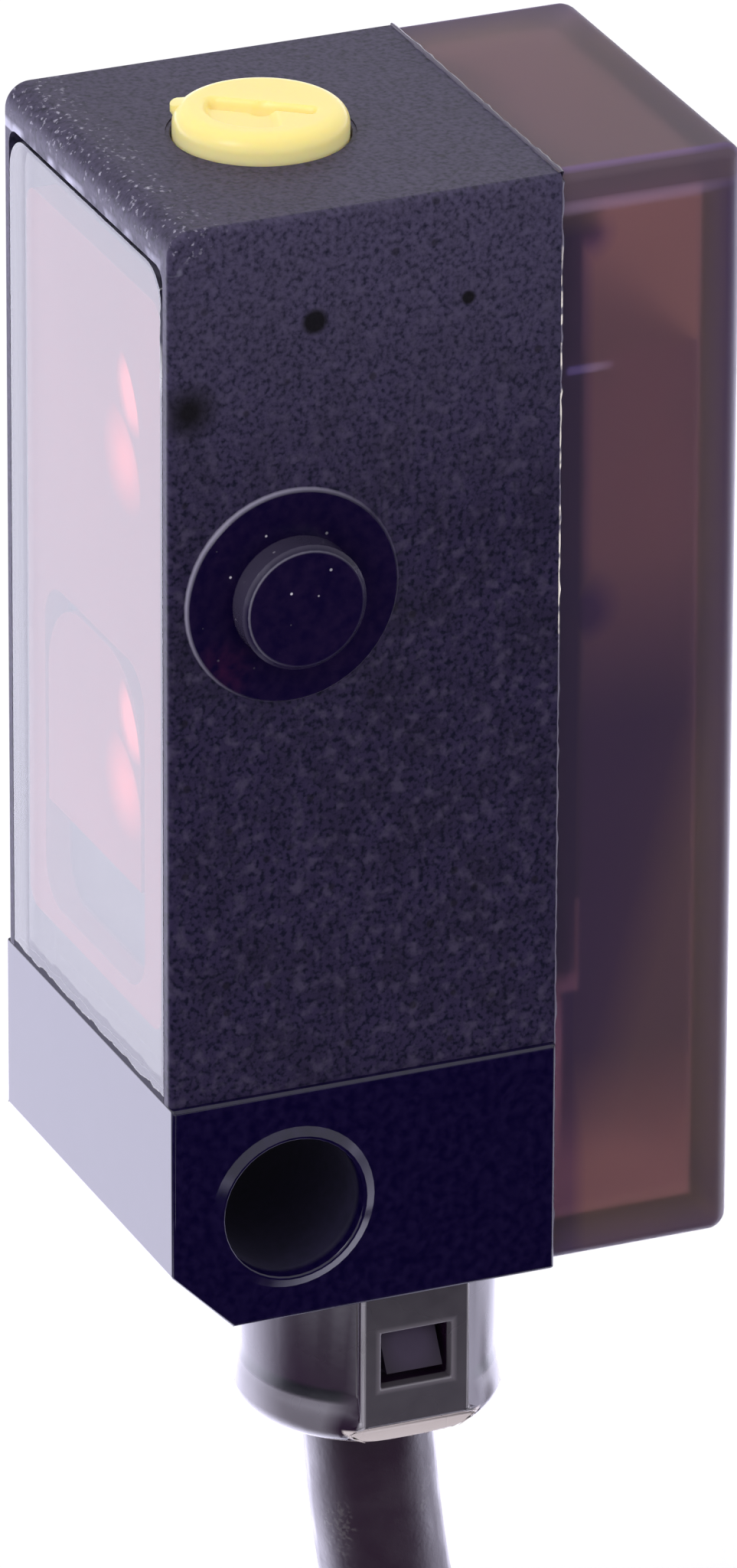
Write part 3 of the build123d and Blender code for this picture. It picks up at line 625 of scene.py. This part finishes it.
def cable_jacket(finish):
    """Polyurethane, extruded over the cores: satin with a fine uneven skin and a few scuffs."""
    skin = Skin("extruded_polyurethane", finish.cable_colour, {"Specular IOR Level": 1.0})
    skin.grain(0.16, 0.008, 3.0)
    skin.vary_roughness(1.5, 0.3, 0.46)
    scuff = skin.both(skin.patches(1.6, 0.6, 0.66, detail=2.0), skin.patches(0.12, 0.5, 0.6))
    skin.paint(scuff, "#40373f")
    return skin.done()


def core_insulation(name, code):
    """PVC, extruded as core insulation: even and slightly glossy."""
    skin = Skin(name, code)
    skin.vary_roughness(0.8, 0.3, 0.42)
    return skin.done()


def seal_nitrile():
    """Nitrile rubber, cut from sheet: dead matt black."""
    skin = Skin("nitrile_rubber", "#101012", {"Roughness": 0.7})
    skin.grain(0.1, 0.004)
    return skin.done()


def plated_metal(name, code, roughness):
    """Brass, turned and plated: bright, with a slightly uneven gloss."""
    skin = Skin(name, code, {"Metallic": 1.0})
    skin.vary_roughness(0.3, roughness * 0.8, roughness * 1.3)
    return skin.done()


def cured_glue():
    """Acrylic glue, cured clear in the seam: glassy, with pale flecks painted along part of it."""
    skin = Skin("cured_glue", "#4b4458", {"Roughness": 0.2})
    # pale flecks painted along part of the seam
    pale_flecks = skin.both(skin.patches(0.5, 0.44, 0.52, detail=2.0), skin.spot(GLUE_FLECK_MIDDLE, 5.5, 0.35))
    skin.paint(pale_flecks, "#e6ddd4")
    return skin.done()


def floor_card(stage):
    """Card, uncoated and pale: quite matt, with a very faint tooth."""
    skin = Skin("pale_card", stage.floor_colour, {"Roughness": 0.9, "Specular IOR Level": 0.1})
    skin.grain(1.0, 0.01)
    return skin.done()


# Meshes

SHARP_ANGLE = math.radians(35)
WELD_DISTANCE = 0.001
MOULDED_EDGE = 0.05


def dress(node_name, material):
    """Gives a carried-over node its material."""
    mesh = NODES[node_name].data
    mesh.materials.clear()
    mesh.materials.append(material)


def round_edges(node_name, width_mm):
    """Breaks a node's sharp edges, so that they catch the light as moulded ones do."""
    body = NODES[node_name]
    weld = body.modifiers.new("weld", "WELD")
    weld.merge_threshold = WELD_DISTANCE * MM
    bevel = body.modifiers.new("bevel", "BEVEL")
    bevel.width = width_mm * MM
    bevel.segments = 2
    bevel.limit_method = "ANGLE"
    bevel.angle_limit = SHARP_ANGLE
    bevel.use_clamp_overlap = False
    bevel.harden_normals = True


def new_piece(name, builder, material, place=None, body="sensor"):
    """A smooth mesh piece that rides on a body, from a bmesh in millimetres."""
    bmesh.ops.recalc_face_normals(builder, faces=builder.faces[:])
    builder.transform(Matrix.Scale(MM, 4) @ (place or Matrix()))
    mesh = bpy.data.meshes.new(name)
    builder.to_mesh(mesh)
    builder.free()
    mesh.shade_smooth()
    mesh.set_sharp_from_angle(angle=SHARP_ANGLE)
    mesh.materials.append(material)
    piece = bpy.data.objects.new(name, mesh)
    bpy.context.scene.collection.objects.link(piece)
    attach(piece, body)
    return piece


def join_rings(builder, rings):
    """Faces between each ring of points and the next, where a ring of one point is a tip."""
    for low, high in zip(rings, rings[1:]):
        for step in range(max(len(low), len(high))):
            corners = (low[step % len(low)], low[(step + 1) % len(low)])
            corners += (high[(step + 1) % len(high)], high[step % len(high)])
            corners = list(dict.fromkeys(corners))
            if len(corners) > 2:
                builder.faces.new(corners)


def turned(rows, segments, shape=None):
    """A closed form turned about +Z from (radius, height) rows that start and end on the axis."""
    builder = bmesh.new()
    rings = []
    for radius, height in rows:
        ring = []
        for step in range(segments if radius else 1):
            angle = 2 * math.pi * step / segments
            point = Vector((radius * math.cos(angle), radius * math.sin(angle), height))
            ring.append(builder.verts.new(shape(point) if shape else point))
        rings.append(ring)
    join_rings(builder, rings)
    return builder


def bead(path, sizes, sides=8):
    """A thin closed bead along a path, with its own radius at each point."""
    builder = bmesh.new()
    rings = []
    for index, (point, size) in enumerate(zip(path, sizes)):
        before = path[max(index - 1, 0)]
        after = path[min(index + 1, len(path) - 1)]
        turn = (after - before).to_track_quat("Z", "X")
        ring = []
        for step in range(sides):
            angle = 2 * math.pi * step / sides
            reach = Vector((math.cos(angle), math.sin(angle), 0)) * size
            ring.append(builder.verts.new(point + turn @ reach))
        rings.append(ring)
    join_rings(builder, rings)
    builder.faces.new(rings[0])
    builder.faces.new(rings[-1])
    return builder


def soft_step(value, width):
    """0 below minus half the width, 1 above plus half of it, smooth between."""
    t = min(max(value / width + 0.5, 0.0), 1.0)
    return t * t * (3 - 2 * t)


# Cable route in millimetres, the same points as those of its solid

CABLE_DESCENT = (
    (0.0, 3.92, -6.95),
    (0.0, 4.25, -13.9),
    (0.0, 7.1, -19.6),
    (0.0, 12.2, -24.0),
    (0.0, 18.6, -26.2),
)
CABLE_DIAMETER = 3.05
TURN_RADIUS = 16.0
TURN_GROWTH = 6.4
TURN_POINTS = 12
TURN_LEAD = 8.5
TURN_RISES = (0.3, 1.5)
PLUG_RADIUS = 4.5
LAST_RUN = 10.6


def cable_route():
    """The cable's route: down from the boot, then one loose turn that ends at the plug."""
    last = CABLE_DESCENT[-1]
    half_step = math.pi / TURN_POINTS
    turn_y = last[1] + TURN_LEAD - TURN_RADIUS * math.tan(half_step)
    plug_rise = PLUG_RADIUS - CABLE_DIAMETER / 2
    rises = (TURN_POINTS - len(TURN_RISES) - 1) * (0.0,) + TURN_RISES + (plug_rise,)
    turn = []
    for step, rise in enumerate(rises):
        angle = (2 * step + 1) * half_step
        growth = TURN_GROWTH * (step / (TURN_POINTS - 1)) ** 2
        reach = (TURN_RADIUS + growth) / math.cos(half_step)
        across = TURN_RADIUS - reach * math.cos(angle)
        turn.append((across, turn_y + reach * math.sin(angle), last[2] + rise))
    end = (turn[-1][0], turn[-1][1] + LAST_RUN, turn[-1][2])
    return [*CABLE_DESCENT, *turn, end]


# Operators, with lengths in millimetres but for the stage's, which are in metres


class SENSOR_OT_stage(bpy.types.Operator):
    """Lay the pale floor and set the lights and the camera"""

    bl_idname = "sensor.stage"
    bl_label = "Stage"

    floor_radius = 1.4
    floor_segments = 96
    softbox_way = Vector((0.29, -0.72, 0.66))
    softbox_distance = 0.42
    softbox_width = 0.16
    # the fitted camera turns about the base's front lower edge and is shifted in its own plane
    rig_origin = Vector((0.0, -2.95, -2.8)) * MM
    rig_shift = Vector((6.3748, 10.6816)) * MM
    window_middle = Vector((0.0, -2.95, 12.0)) * MM

    def execute(self, context):
        stage = context.scene.sensor_stage
        self.add_camera(context, stage)
        self.add_floor(context, stage)
        self.add_world(context, stage)
        self.add_softbox(context, stage)
        return {"FINISHED"}

    def add_camera(self, context, stage):
        a, e = stage.azimuth, stage.elevation
        back = Vector((math.sin(a) * math.cos(e), -math.cos(a) * math.cos(e), math.sin(e)))
        right = Vector((math.cos(a), math.sin(a), 0.0))
        up = back.cross(right)
        x_axis = math.cos(stage.roll) * right + math.sin(stage.roll) * up
        y_axis = -math.sin(stage.roll) * right + math.cos(stage.roll) * up
        data = bpy.data.cameras.new("camera")
        data.lens = stage.focal_length
        data.sensor_width = 36.0
        data.clip_start = 0.01
        data.clip_end = 10.0
        camera = bpy.data.objects.new("camera", data)
        aim = right * self.rig_shift.x + up * self.rig_shift.y
        place = self.rig_origin + aim + back * stage.distance
        turn = Matrix((x_axis, y_axis, back)).transposed()
        camera.matrix_world = Matrix.Translation(place) @ turn.to_4x4()
        context.scene.collection.objects.link(camera)
        context.scene.camera = camera

    def add_floor(self, context, stage):
        builder = bmesh.new()
        bmesh.ops.create_circle(
            builder, cap_ends=True, segments=self.floor_segments, radius=self.floor_radius
        )
        mesh = bpy.data.meshes.new("floor")
        builder.to_mesh(mesh)
        builder.free()
        floor = bpy.data.objects.new("floor", mesh)
        floor.location.z = cad_low.z
        mesh.materials.append(floor_card(stage))
        # the floor lights the object but isn't mirrored in it, the surround below it is
        floor.visible_glossy = False
        context.scene.collection.objects.link(floor)

    def add_world(self, context, stage):
        world = bpy.data.worlds.new("surround")
        world.use_nodes = True
        tree = world.node_tree
        background = tree.nodes["Background"]
        background.inputs["Strength"].default_value = stage.sky_power
        # below the horizon it is dark on the camera's side, as a room is, and pale behind
        sky = Pattern(tree, add_node(tree, "TexCoord").outputs["Generated"], 1.0)
        side = (math.sin(stage.azimuth), -math.cos(stage.azimuth), 0.0)
        room = sky.both(sky.along(side, -0.35, 0.25), sky.along("Z", 0.05, -0.15))
        table = [channel * stage.table_power for channel in stage.table_colour]
        colour = sky.mix(sky.along("Z", 0.02, -0.02), stage.sky_colour, table)
        colour = sky.mix(room, colour, stage.room_colour)
        tree.links.new(colour, background.inputs["Color"])
        context.scene.world = world
        context.scene.view_settings.view_transform = "Standard"

    def add_softbox(self, context, stage):
        """A softbox up and to the left of the camera, for the rims."""
        data = bpy.data.lights.new("softbox", "AREA")
        data.size = self.softbox_width
        data.energy = stage.lamp_power * math.pi * self.softbox_width**2
        data.color = stage.lamp_colour
        lamp = bpy.data.objects.new("softbox", data)
        lamp.location = self.window_middle + self.softbox_way * self.softbox_distance
        lamp.rotation_mode = "QUATERNION"
        lamp.rotation_quaternion = (-self.softbox_way).to_track_quat("-Z", "Y")
        lamp.visible_camera = False
        context.scene.collection.objects.link(lamp)


class SENSOR_OT_cable(bpy.types.Operator):
    """Lay the cable from the boot to the plug"""

    bl_idname = "sensor.cable"
    bl_label = "Cable"

    def execute(self, context):
        points = [Vector(point) * MM for point in cable_route()]
        curve = bpy.data.curves.new("cable_run", "CURVE")
        curve.dimensions = "3D"
        curve.bevel_depth = CABLE_DIAMETER * MM / 2
        curve.bevel_resolution = 8
        curve.use_fill_caps = True
        spline = curve.splines.new("NURBS")
        spline.points.add(len(points) - 1)
        for target, point in zip(spline.points, points):
            target.co = (*point, 1.0)
        spline.order_u = 3
        spline.use_endpoint_u = True
        spline.resolution_u = 12
        piece = bpy.data.objects.new("cable_run", curve)
        context.scene.collection.objects.link(piece)
        curve.materials.append(cable_jacket(context.scene.sensor_finish))
        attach(piece, "sensor")
        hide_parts("cable")
        return {"FINISHED"}


class SENSOR_OT_housing(bpy.types.Operator):
    """Finish the housing shell and the base block"""

    bl_idname = "sensor.housing"
    bl_label = "Housing and base"

    lip_inner = 2.03
    lip_outer = 2.16
    lip_depth = 0.2
    lip_drop = 0.03
    lip_chamfer = 0.03
    lip_steps = 96

    def execute(self, context):
        finish = context.scene.sensor_finish
        housing = housing_abs(finish)
        dress("housing", housing)
        dress("base_block", base_abs(finish))
        round_edges("base_block", MOULDED_EDGE)
        self.add_lip(housing)
        return {"FINISHED"}

    def add_lip(self, material):
        """The dust lip that narrows the gap between the housing and the adjuster."""
        top = box_mm("housing")[1].z
        crest = top - self.lip_drop
        outline = (
            (self.lip_inner, top - self.lip_depth),
            (self.lip_outer, top - self.lip_depth),
            (self.lip_outer, crest),
            (self.lip_inner + self.lip_chamfer, crest),
            (self.lip_inner, crest - self.lip_chamfer),
        )
        builder = bmesh.new()
        rings = []
        for step in range(self.lip_steps):
            angle = 2 * math.pi * step / self.lip_steps
            ring = [(r * math.cos(angle), r * math.sin(angle), z) for r, z in outline]
            rings.append([builder.verts.new(point) for point in ring])
        join_rings(builder, rings + rings[:1])
        place = Matrix.Translation((0.0, SENSOR_OT_adjuster.centre_y, 0.0))
        new_piece("hole_lip", builder, material, place)


class SENSOR_OT_cover(bpy.types.Operator):
    """Finish the see-through rear cover and run the glue line along its seam"""

    bl_idname = "sensor.cover"
    bl_label = "Rear cover"

    step = 0.22
    foot_gap = 0.6
    side_gap = 0.03
    size_shares = (0.7, 0.8, 0.9, 1.0, 1.0, 1.3)
    end_share = 0.3
    seed = 7

    def execute(self, context):
        finish = context.scene.sensor_finish
        dress("rear_cover", cover_polycarbonate(finish))
        low, high = box_mm("rear_cover")
        seam_y = box_mm("housing")[1].y + self.side_gap
        side = high.x
        chance = random.Random(self.seed)
        corners = (
            Vector((side, seam_y, low.z + self.foot_gap)),
            Vector((side, seam_y, high.z)),
            Vector((-side, seam_y, high.z)),
            Vector((-side, seam_y, low.z + self.foot_gap)),
        )
        path = []
        for start, end in zip(corners, corners[1:]):
            count = round((end - start).length / self.step)
            path += [start.lerp(end, index / count) for index in range(count)]
        path.append(corners[-1])
        radius = finish.glue_radius / MM
        sizes = [radius * chance.choice(self.size_shares) for _ in path]
        sizes[0] = sizes[-1] = radius * self.end_share
        new_piece("glue_line", bead(path, sizes), cured_glue())
        return {"FINISHED"}


class SENSOR_OT_optics(bpy.types.Operator):
    """Finish the window, the lenses and their carrier"""

    bl_idname = "sensor.optics"
    bl_label = "Optics"

    corner_round = 0.9
    step = 0.16
    shade_inset = 0.04
    shade_radius = (0.04, 0.075)
    shade_sides = 6
    corner_steps = 6
    drift = 0.02
    wall_gap = 0.005
    # the painted shade is thicker past this place, in the upper corner beside the latch side, and
    # along the foot
    thick_corner = (3.4, 22.0)
    corner_share = 1.7
    foot_height = 0.05
    foot_share = 1.35
    seed = 3

    def execute(self, context):
        finish = context.scene.sensor_finish
        dress("front_window", window_acrylic())
        self.add_gap_shade()
        lens = lens_polycarbonate(finish)
        dress("lens_plate", lens)
        dress("receiver_lens", lens)
        dress("optics_carrier", carrier_polyamide())
        dress("emitter_led", moulded_epoxy("emitter_epoxy", "#e8d8d0", 0.2))
        dress("receiver_chip", moulded_epoxy("receiver_epoxy", "#1a1a20", 0.3))
        return {"FINISHED"}

    def add_gap_shade(self):
        """A thin uneven dark thread in the gap round the window, as painted shade that deepens the gap.
        """
        low, high = box_mm("front_window")
        chance = random.Random(self.seed)
        turn = self.corner_round
        inset = Vector((self.shade_inset, 0.0, self.shade_inset))
        low += inset
        high -= inset
        path = [Vector((high.x, low.z)), Vector((high.x, high.z - turn))]
        for side, start in ((1, 0.0), (-1, math.pi / 2)):
            middle = (side * (high.x - turn), high.z - turn)
            for step in range(1, self.corner_steps + 1):
                angle = start + step * math.pi / 2 / self.corner_steps
                reach = (turn * math.cos(angle), turn * math.sin(angle))
                path.append(Vector((middle[0] + reach[0], middle[1] + reach[1])))
        path += [Vector((low.x, low.z)), Vector((high.x, low.z))]
        points, sizes = [], []
        for start, end in zip(path, path[1:]):
            count = max(round((end - start).length / self.step), 1)
            for index in range(count):
                place = start.lerp(end, index / count)
                size = chance.uniform(*self.shade_radius)
                if place.x > self.thick_corner[0] and place.y > self.thick_corner[1]:
                    size *= self.corner_share
                if place.y < low.z + self.foot_height:
                    size *= self.foot_share
                drift = chance.uniform(-self.drift, self.drift)
                depth = low.y + self.wall_gap + size
                points.append(Vector((place.x + drift, depth, place.y + drift)))
                sizes.append(size)
        shade_thread = bead(points, sizes, self.shade_sides)
        new_piece("window_gap_shade_thread", shade_thread, window_gap_shade())


class SENSOR_OT_board(bpy.types.Operator):
    """Finish the circuit board, its parts and the resin"""

    bl_idname = "sensor.board"
    bl_label = "Circuit board"

    film_depths = (0.004, 0.02)
    film_foot = -1.7
    foot_reach = 0.4
    slope_start = 0.6
    slope_end = 4.4
    cover_wall = 0.85
    wall_gap = 0.02
    board_gap = 0.05

    def execute(self, context):
        finish = context.scene.sensor_finish
        dress("circuit_board", board_laminate(finish))
        chip = moulded_epoxy("chip_epoxy", "#141416", 0.55)
        for name in ("control_chip", "regulator", "potentiometer"):
            dress(name, chip)
        dress("capacitors", fired_ceramic("capacitor_ceramic", "#a08264"))
        dress("resistors", fired_ceramic("resistor_ceramic", "#1c1c20"))
        dress("power_indicator", indicator_epoxy("green_indicator", "#5d6a4a"))
        dress("output_indicator", indicator_epoxy("orange_indicator", "#8a5a34"))
        dress("potentiometer_terminals", plated_metal("tinned_brass", "#c8c4bc", 0.3))
        dress("seal_ring", seal_nitrile())
        for name, code in (("brown", "#6a3a1f"), ("black", "#161418"), ("blue", "#2c6cc4")):
            dress(f"core_{name}", core_insulation(f"{name}_insulation", code))
        resin = casting_resin(finish)
        dress("resin", resin)
        self.add_film(resin)
        return {"FINISHED"}

    def add_film(self, resin):
        """Resin that ran down the inner walls of the cover below the poured block."""
        low, high = box_mm("resin")
        rear = box_mm("rear_cover")[1].y - self.cover_wall - self.wall_gap
        slope_rear = high.y - self.wall_gap
        front = low.y - self.foot_reach
        board_foot = box_mm("circuit_board")[0].z - self.board_gap
        builder = bmesh.new()
        for side in (1, -1):
            faces = []
            for depth in self.film_depths:
                across = side * (high.x - depth)
                outline = (
                    (across, low.y, low.z + self.slope_start),
                    (across, slope_rear, low.z + self.slope_end),
                    (across, slope_rear, high.z),
                    (across, rear, high.z),
                    (across, rear, self.film_foot),
                    (across, front, self.film_foot),
                    (across, front, board_foot),
                    (across, low.y, board_foot),
                )
                faces.append([builder.verts.new(point) for point in outline])
                builder.faces.new(faces[-1])
            join_rings(builder, faces)
        new_piece("resin_film", builder, resin)


class SENSOR_OT_adjuster(bpy.types.Operator):
    """Make the yellow range adjuster with its soft slot and pocket"""

    bl_idname = "sensor.adjuster"
    bl_label = "Adjuster"

    centre_y = 1.3
    radius = 2.0
    top_round = 0.42
    cap_height = 1.17
    spindle_radius = 0.8
    slot_angle = math.radians(53)
    slot_half_length = 1.2
    slot_half_width = 0.14
    slot_depth = 0.36
    pocket_radius = 1.25
    pocket_shift = 0.22
    pocket_depth = 0.16
    pocket_end = math.radians(292)
    dimple_radius = 0.2
    dimple_depth = 0.08
    nub_reach = 0.09
    nub_half_angle = math.radians(7.5)
    nub_drop = 0.1
    nub_height = 0.24
    edge_softness = 0.22
    side_row = 0.3
    nub_zone = 0.3
    round_steps = 10
    top_rows = 36
    segments = 180

    def execute(self, context):
        low, high = box_mm("adjuster_knob")
        self.top = high.z
        rows = [
            (0.0, low.z),
            (self.spindle_radius, low.z),
            (self.spindle_radius, high.z - self.cap_height),
            (self.radius, high.z - self.cap_height),
        ]
        shoulder = high.z - self.top_round
        rows += [(self.radius, shoulder - self.side_row), (self.radius, shoulder)]
        for step in range(1, self.round_steps):
            angle = step * math.pi / 2 / self.round_steps
            inset = self.top_round * (1 - math.cos(angle))
            rows.append((self.radius - inset, shoulder + self.top_round * math.sin(angle)))
        ring = self.radius - self.top_round
        rows += [(ring * (1 - step / self.top_rows), high.z) for step in range(self.top_rows)]
        rows.append((0.0, high.z))
        builder = turned(rows, self.segments, self.shape)
        place = Matrix.Translation((0.0, self.centre_y, 0.0))
        knob = new_piece(
            "adjuster_cap",
            builder,
            knob_polyamide(context.scene.sensor_finish),
            place,
            body="adjuster",
        )
        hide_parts("adjuster_knob")
        return {"FINISHED"}

    def shape(self, point):
        """Sinks the slot, pocket and dimple into the top and pushes out the pointer's nub."""
        radius = math.hypot(point.x, point.y)
        along = point.x * math.cos(self.slot_angle) + point.y * math.sin(self.slot_angle)
        across = point.y * math.cos(self.slot_angle) - point.x * math.sin(self.slot_angle)
        soft = self.edge_softness
        if point.z > self.top - self.top_round / 2:
            slot = self.slot_depth
            slot *= soft_step(self.slot_half_width - abs(across), soft)
            slot *= soft_step(self.slot_half_length - abs(along), soft)
            # the pocket opens from the slot's pointer half, on the side of the window
            past_end = across * math.cos(self.pocket_end) - along * math.sin(self.pocket_end)
            past_end -= self.pocket_shift
            inside = min(-across, -past_end, self.pocket_radius - radius)
            pocket = self.pocket_depth * soft_step(inside, soft)
            dimple = self.dimple_depth * soft_step(self.dimple_radius - radius, soft)
            point.z -= max(slot, pocket) + dimple
        turn = math.atan2(-across, -along)
        nub = 1 - (turn / self.nub_half_angle) ** 2
        nub_top = self.top - self.nub_drop
        level = nub_top - self.nub_height < point.z < nub_top
        if nub > 0 and level and radius > self.radius - self.nub_zone:
            reach = self.radius + self.nub_reach * math.sqrt(nub)
            point.x *= reach / radius
            point.y *= reach / radius
        return point


class SENSOR_OT_gland(bpy.types.Operator):
    """Finish the cable gland and the boot in it"""

    bl_idname = "sensor.gland"
    bl_label = "Cable gland"

    def execute(self, context):
        dress("cable_gland", gland_polyamide())
        round_edges("cable_gland", MOULDED_EDGE)
        dress("cable_boot", boot_elastomer())
        return {"FINISHED"}


class SENSOR_OT_plug(bpy.types.Operator):
    """Finish the plug and cut the thread of its sleeve"""

    bl_idname = "sensor.plug"
    bl_label = "Plug"

    ring_length = 1.8
    ring_radius = 4.5
    ring_edge = 0.25
    knurl_count = 36
    knurl_depth = 0.1
    thread_radius = 4.0
    end_chamfer = 0.5
    bore_radius = 3.25
    bore_depth = 5.5
    row_step = 0.1
    tolerance = 0.01
    segments = 144

    def execute(self, context):
        finish = context.scene.sensor_finish
        dress("plug_grip", boot_elastomer())
        dress("plug_insert", carrier_polyamide())
        dress("plug_pins", plated_metal("gold_plated_brass", "#d8b264", 0.18))
        self.pitch = finish.thread_pitch / MM
        self.depth = finish.thread_depth / MM
        low, high = box_mm("plug_sleeve")
        self.length = high.y - low.y
        rows = [(0.0, 0.0), (self.ring_radius - self.ring_edge, 0.0)]
        rows += [(self.ring_radius, self.ring_edge)]
        rows += [(self.ring_radius, self.ring_length - self.ring_edge)]
        rows += [(self.ring_radius - self.ring_edge, self.ring_length)]
        count = round((self.length - self.ring_length) / self.row_step)
        for step in range(count + 1):
            height = self.ring_length + step * self.row_step
            rows.append((self.thread_radius, min(height, self.length)))
        rows += [(self.bore_radius, self.length)]
        rows += [(self.bore_radius, self.length - self.bore_depth)]
        rows += [(0.0, self.length - self.bore_depth)]
        builder = turned(rows, self.segments, self.shape)
        middle = (low + high) / 2
        place = Matrix.Translation((middle.x, low.y, middle.z))
        place = place @ Matrix.Rotation(-math.pi / 2, 4, "X")
        sleeve = new_piece(
            "threaded_sleeve",
            builder,
            plated_metal("nickel_plated_brass", "#c9c6c0", 0.22),
            place,
        )
        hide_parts("plug_sleeve")
        return {"FINISHED"}

    def shape(self, point):
        """Cuts the thread into the sleeve and the knurl into its ring."""
        radius = math.hypot(point.x, point.y)
        angle = math.atan2(point.y, point.x)
        wanted = radius
        if abs(radius - self.ring_radius) < self.tolerance:
            wanted -= self.knurl_depth * (0.5 + 0.5 * math.cos(self.knurl_count * angle))
        if abs(radius - self.thread_radius) < self.tolerance:
            turn = (point.z / self.pitch + angle / (2 * math.pi)) % 1.0
            fade = min(max((point.z - self.ring_length) / self.pitch, 0.0), 1.0)
            wanted -= self.depth * fade * (1 - abs(2 * turn - 1))
            wanted = min(wanted, self.thread_radius - self.end_chamfer + self.length - point.z)
        if radius:
            point.x *= wanted / radius
            point.y *= wanted / radius
        return point


SETTINGS = (FinishSettings, StageSettings)
STEPS = (
    SENSOR_OT_stage,
    SENSOR_OT_cable,
    SENSOR_OT_housing,
    SENSOR_OT_cover,
    SENSOR_OT_optics,
    SENSOR_OT_board,
    SENSOR_OT_adjuster,
    SENSOR_OT_gland,
    SENSOR_OT_plug,
)


class SENSOR_PT_steps(bpy.types.Panel):
    """Lists the settings and the build steps"""

    bl_idname = "SENSOR_PT_steps"
    bl_label = "Sensor"
    bl_space_type = "VIEW_3D"
    bl_region_type = "UI"
    bl_category = "Sensor"

    def draw(self, context):
        column = self.layout.column()
        for settings in (context.scene.sensor_finish, context.scene.sensor_stage):
            for name in settings.bl_rna.properties.keys():
                if name not in ("rna_type", "name"):
                    column.prop(settings, name)
        for step in STEPS:
            column.operator(step.bl_idname)


def register():
    for item in (*SETTINGS, *STEPS, SENSOR_PT_steps):
        bpy.utils.register_class(item)
    bpy.types.Scene.sensor_finish = PointerProperty(type=FinishSettings)
    bpy.types.Scene.sensor_stage = PointerProperty(type=StageSettings)


def unregister():
    del bpy.types.Scene.sensor_stage
    del bpy.types.Scene.sensor_finish
    for item in reversed((*SETTINGS, *STEPS, SENSOR_PT_steps)):
        bpy.utils.unregister_class(item)


def main():
    register()
    bpy.ops.sensor.stage()
    bpy.ops.sensor.plug()
    bpy.ops.sensor.cable()
    bpy.ops.sensor.housing()
    bpy.ops.sensor.cover()
    bpy.ops.sensor.optics()
    bpy.ops.sensor.board()
    bpy.ops.sensor.adjuster()
    bpy.ops.sensor.gland()


if __name__ == "__main__":
    main()
